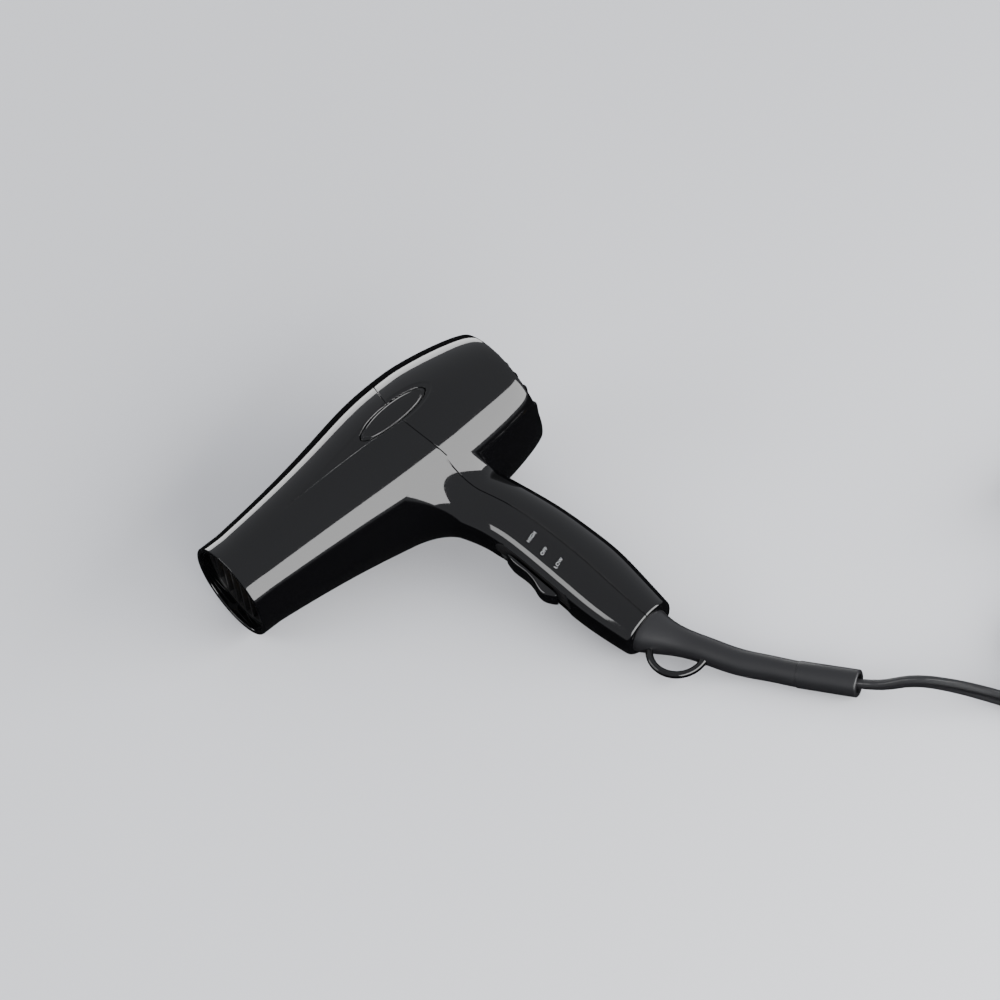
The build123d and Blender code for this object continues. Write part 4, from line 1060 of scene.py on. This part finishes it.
class DRYER_OT_finishes(bpy.types.Operator):
    """Finishes for the pieces that the working frame already shapes"""

    bl_idname = "dryer.finishes"
    bl_label = "Finishes"

    def execute(self, context):
        nylon = spark_textured_nylon()
        steel = metal("zinc plated steel", "#a9abad", 0.32)
        groups = {
            nylon: ("switch_surround", "outlet_grille", "plug_body", "plug_cover"),
            moulded_pvc(): ("plug_relief",),
            extruded_pvc(): ("inner_cord", "inner_cores"),
            metal("woven stainless mesh", "#8d8f92", 0.4): ("lint_screen",),
            steel: ("motor_can", "motor_shaft", "handle_screws", "clamp_screws", "plug_screws"),
            metal("stamped brass", "#c9a55c", 0.28): ("plug_blades", "switch_terminals"),
            metal("sintered bronze", "#8f6a3d", 0.5, 0.2, 0.01): ("motor_bushes",),
            metal("enamelled copper", "#b5633a", 0.35): ("motor_rotor", "motor_commutator"),
            metal("wound nichrome", "#7d7a75", 0.4): ("heater_coil_high", "heater_coil_low"),
            metal("pressed aluminium", "#b9b6ae", 0.38): ("thermostat", "thermal_fuse"),
            moulded("glass filled nylon", "#d8d4c8", 0.5): (
                "motor_mount", "motor_end_cap", "switch_carriage", "switch_body", "cord_clamp",
            ),
            moulded("grey nylon", "#55585b", 0.45): ("fan_impeller",),
            moulded("sintered ferrite", "#2e2e30", 0.6): ("motor_magnets",),
            moulded("moulded epoxy", "#1b1b1b", 0.5): ("rectifier_diodes",),
            moulded("phlogopite mica", "#b39c6d", 0.45, 2.0, 0.03): (
                "heater_tube", "mica_board_upright", "mica_board_level",
            ),
            moulded("glass sleeving", "#dcdad2", 0.6, 0.4, 0.03): ("supply_leads",),
            moulded("epoxy circuit board", "#1f5a34", 0.4): ("plug_circuit_board",),
            moulded("grey key plastic", "#7a7b7e", 0.45): ("test_button",),
            moulded("red key plastic", "#8f1d18", 0.45): ("reset_button",),
        }
        for material, names in groups.items():
            for name in names:
                mesh = frame["nodes"][name].data
                mesh.materials.clear()
                mesh.materials.append(material)
        return {"FINISHED"}


# ---------------------------------------------------------------- stage

RIGHT = np.array([0.78, -0.6116, -0.1302])
UP = np.array([0.503, 0.4907, 0.7115])
BACK = np.array([-0.3713, -0.6209, 0.6903])
FRAME_WIDTH = 0.46  # metres across the view at the dryer
FLOOR_REACH = 8.0
CEILING_GLOW = 0.62  # the room's radiance above the horizon
GROUND_GLOW = 0.02  # and below it, so the polished underside stays dark
# Softboxes: direction from the dryer, distance, width and height in metres, share of the key power.
SOFTBOXES = (
    ("handle side softbox", (0.25, -0.91, 0.36), 1.3, (3.0, 0.78), 1.0),
    ("far side softbox", (0.27, 0.95, 0.12), 1.4, (1.6, 0.42), 0.6),
    ("nozzle side softbox", (-0.80, 0.36, 0.50), 1.3, (0.8, 0.3), 0.7),
)
AIM = (0.269, 0.093)  # the nozzle's middle to the view's, as shares of the width


def softbox(name, direction, distance, size, radiance, target):
    """A flat rectangular light that faces the dryer from a direction, with a given radiance."""
    data = bpy.data.lights.new(name, "AREA")
    data.shape = "RECTANGLE"
    data.size, data.size_y = size
    data.energy = radiance * math.pi * size[0] * size[1]
    light = bpy.data.objects.new(name, data)
    toward = Vector(direction).normalized()
    light.location = Vector(target) + toward * distance
    light.rotation_mode = "QUATERNION"
    light.rotation_quaternion = toward.to_track_quat("Z", "Y")
    bpy.context.scene.collection.objects.link(light)


class DRYER_OT_stage(bpy.types.Operator):
    """Plain pale floor, soft studio lights and the camera"""

    bl_idname = "dryer.stage"
    bl_label = "Stage"

    def execute(self, context):
        settings = context.scene.dryer_stage
        nozzle = laid((NOZZLE_X, 0, 0))
        target = nozzle + (RIGHT * AIM[0] + UP * AIM[1]) * FRAME_WIDTH
        camera = bpy.data.cameras.new("studio camera")
        camera.lens = settings.lens
        camera.sensor_width = 36.0
        camera.dof.use_dof = False
        holder = bpy.data.objects.new("studio camera", camera)
        distance = FRAME_WIDTH * settings.lens / camera.sensor_width
        place = Matrix([[*row, 0] for row in np.column_stack([RIGHT, UP, BACK]).tolist()] + [[0, 0, 0, 1]])
        place.translation = Vector(target + BACK * distance)
        holder.matrix_world = place
        camera.clip_start, camera.clip_end = 0.05, 60.0
        context.scene.collection.objects.link(holder)
        context.scene.camera = holder

        floor_mesh = bpy.data.meshes.new("floor")
        reach = FLOOR_REACH
        floor_mesh.from_pydata(
            [(-reach, -reach, 0), (reach, -reach, 0), (reach, reach, 0), (-reach, reach, 0)], [],
            [(0, 1, 2, 3)],
        )
        paper, tree, shader = finish_of("pale seamless paper", "#e4e5e9", 0.75, 1.45)
        shader.inputs["Base Color"].default_value = (*settings.floor_colour, 1)
        shader.inputs["Specular IOR Level"].default_value = 0.2
        floor_mesh.materials.append(paper)
        floor = bpy.data.objects.new("floor", floor_mesh)
        context.scene.collection.objects.link(floor)
        floor.visible_glossy = False

        world = bpy.data.worlds.new("studio")
        context.scene.world = world
        world.use_nodes = True
        tree = world.node_tree
        place = add_node(tree, "ShaderNodeTexCoord")
        split = add_node(tree, "ShaderNodeSeparateXYZ", Vector=place.outputs["Generated"])
        level = add_node(
            tree, "ShaderNodeMapRange",
            {"From Min": -0.04, "From Max": 0.0, "To Min": GROUND_GLOW, "To Max": CEILING_GLOW},
            Value=split.outputs["Z"],
        )
        tree.links.new(level.outputs["Result"], tree.nodes["Background"].inputs["Strength"])
        tree.nodes["Background"].inputs["Color"].default_value = (0.93, 0.95, 1.0, 1)

        middle = laid((-20, -40, 0))
        for name, direction, distance, size, share in SOFTBOXES:
            softbox(name, direction, distance, size, share * settings.key_power, middle)
        return {"FINISHED"}


# ---------------------------------------------------------------- panel and run

STEPS = (
    DRYER_OT_stage, DRYER_OT_cord, DRYER_OT_shells, DRYER_OT_inlays, DRYER_OT_inlet,
    DRYER_OT_switch, DRYER_OT_labels, DRYER_OT_sleeve, DRYER_OT_finishes,
)
SETTINGS = (("dryer_finish", DryerFinish), ("dryer_cord", DryerCord), ("dryer_stage", DryerStage))


class DRYER_PT_build(bpy.types.Panel):
    """The dryer's steps and settings, in the sidebar"""

    bl_idname = "DRYER_PT_build"
    bl_label = "Hair Dryer"
    bl_space_type = "VIEW_3D"
    bl_region_type = "UI"
    bl_category = "Hair Dryer"

    def draw(self, context):
        for name, group in SETTINGS:
            box = self.layout.box()
            for key in group.__annotations__:
                box.prop(getattr(context.scene, name), key)
        for step in STEPS:
            self.layout.operator(step.bl_idname)


def register():
    for cls in (*(group for _, group in SETTINGS), *STEPS, DRYER_PT_build):
        bpy.utils.register_class(cls)
    for name, group in SETTINGS:
        setattr(bpy.types.Scene, name, PointerProperty(type=group))


def unregister():
    for name, _ in SETTINGS:
        delattr(bpy.types.Scene, name)
    for cls in reversed((*(group for _, group in SETTINGS), *STEPS, DRYER_PT_build)):
        bpy.utils.unregister_class(cls)


def main():
    register()
    for step in STEPS:
        area, call = step.bl_idname.split(".")
        getattr(getattr(bpy.ops, area), call)()


if __name__ == "__main__":
    main()
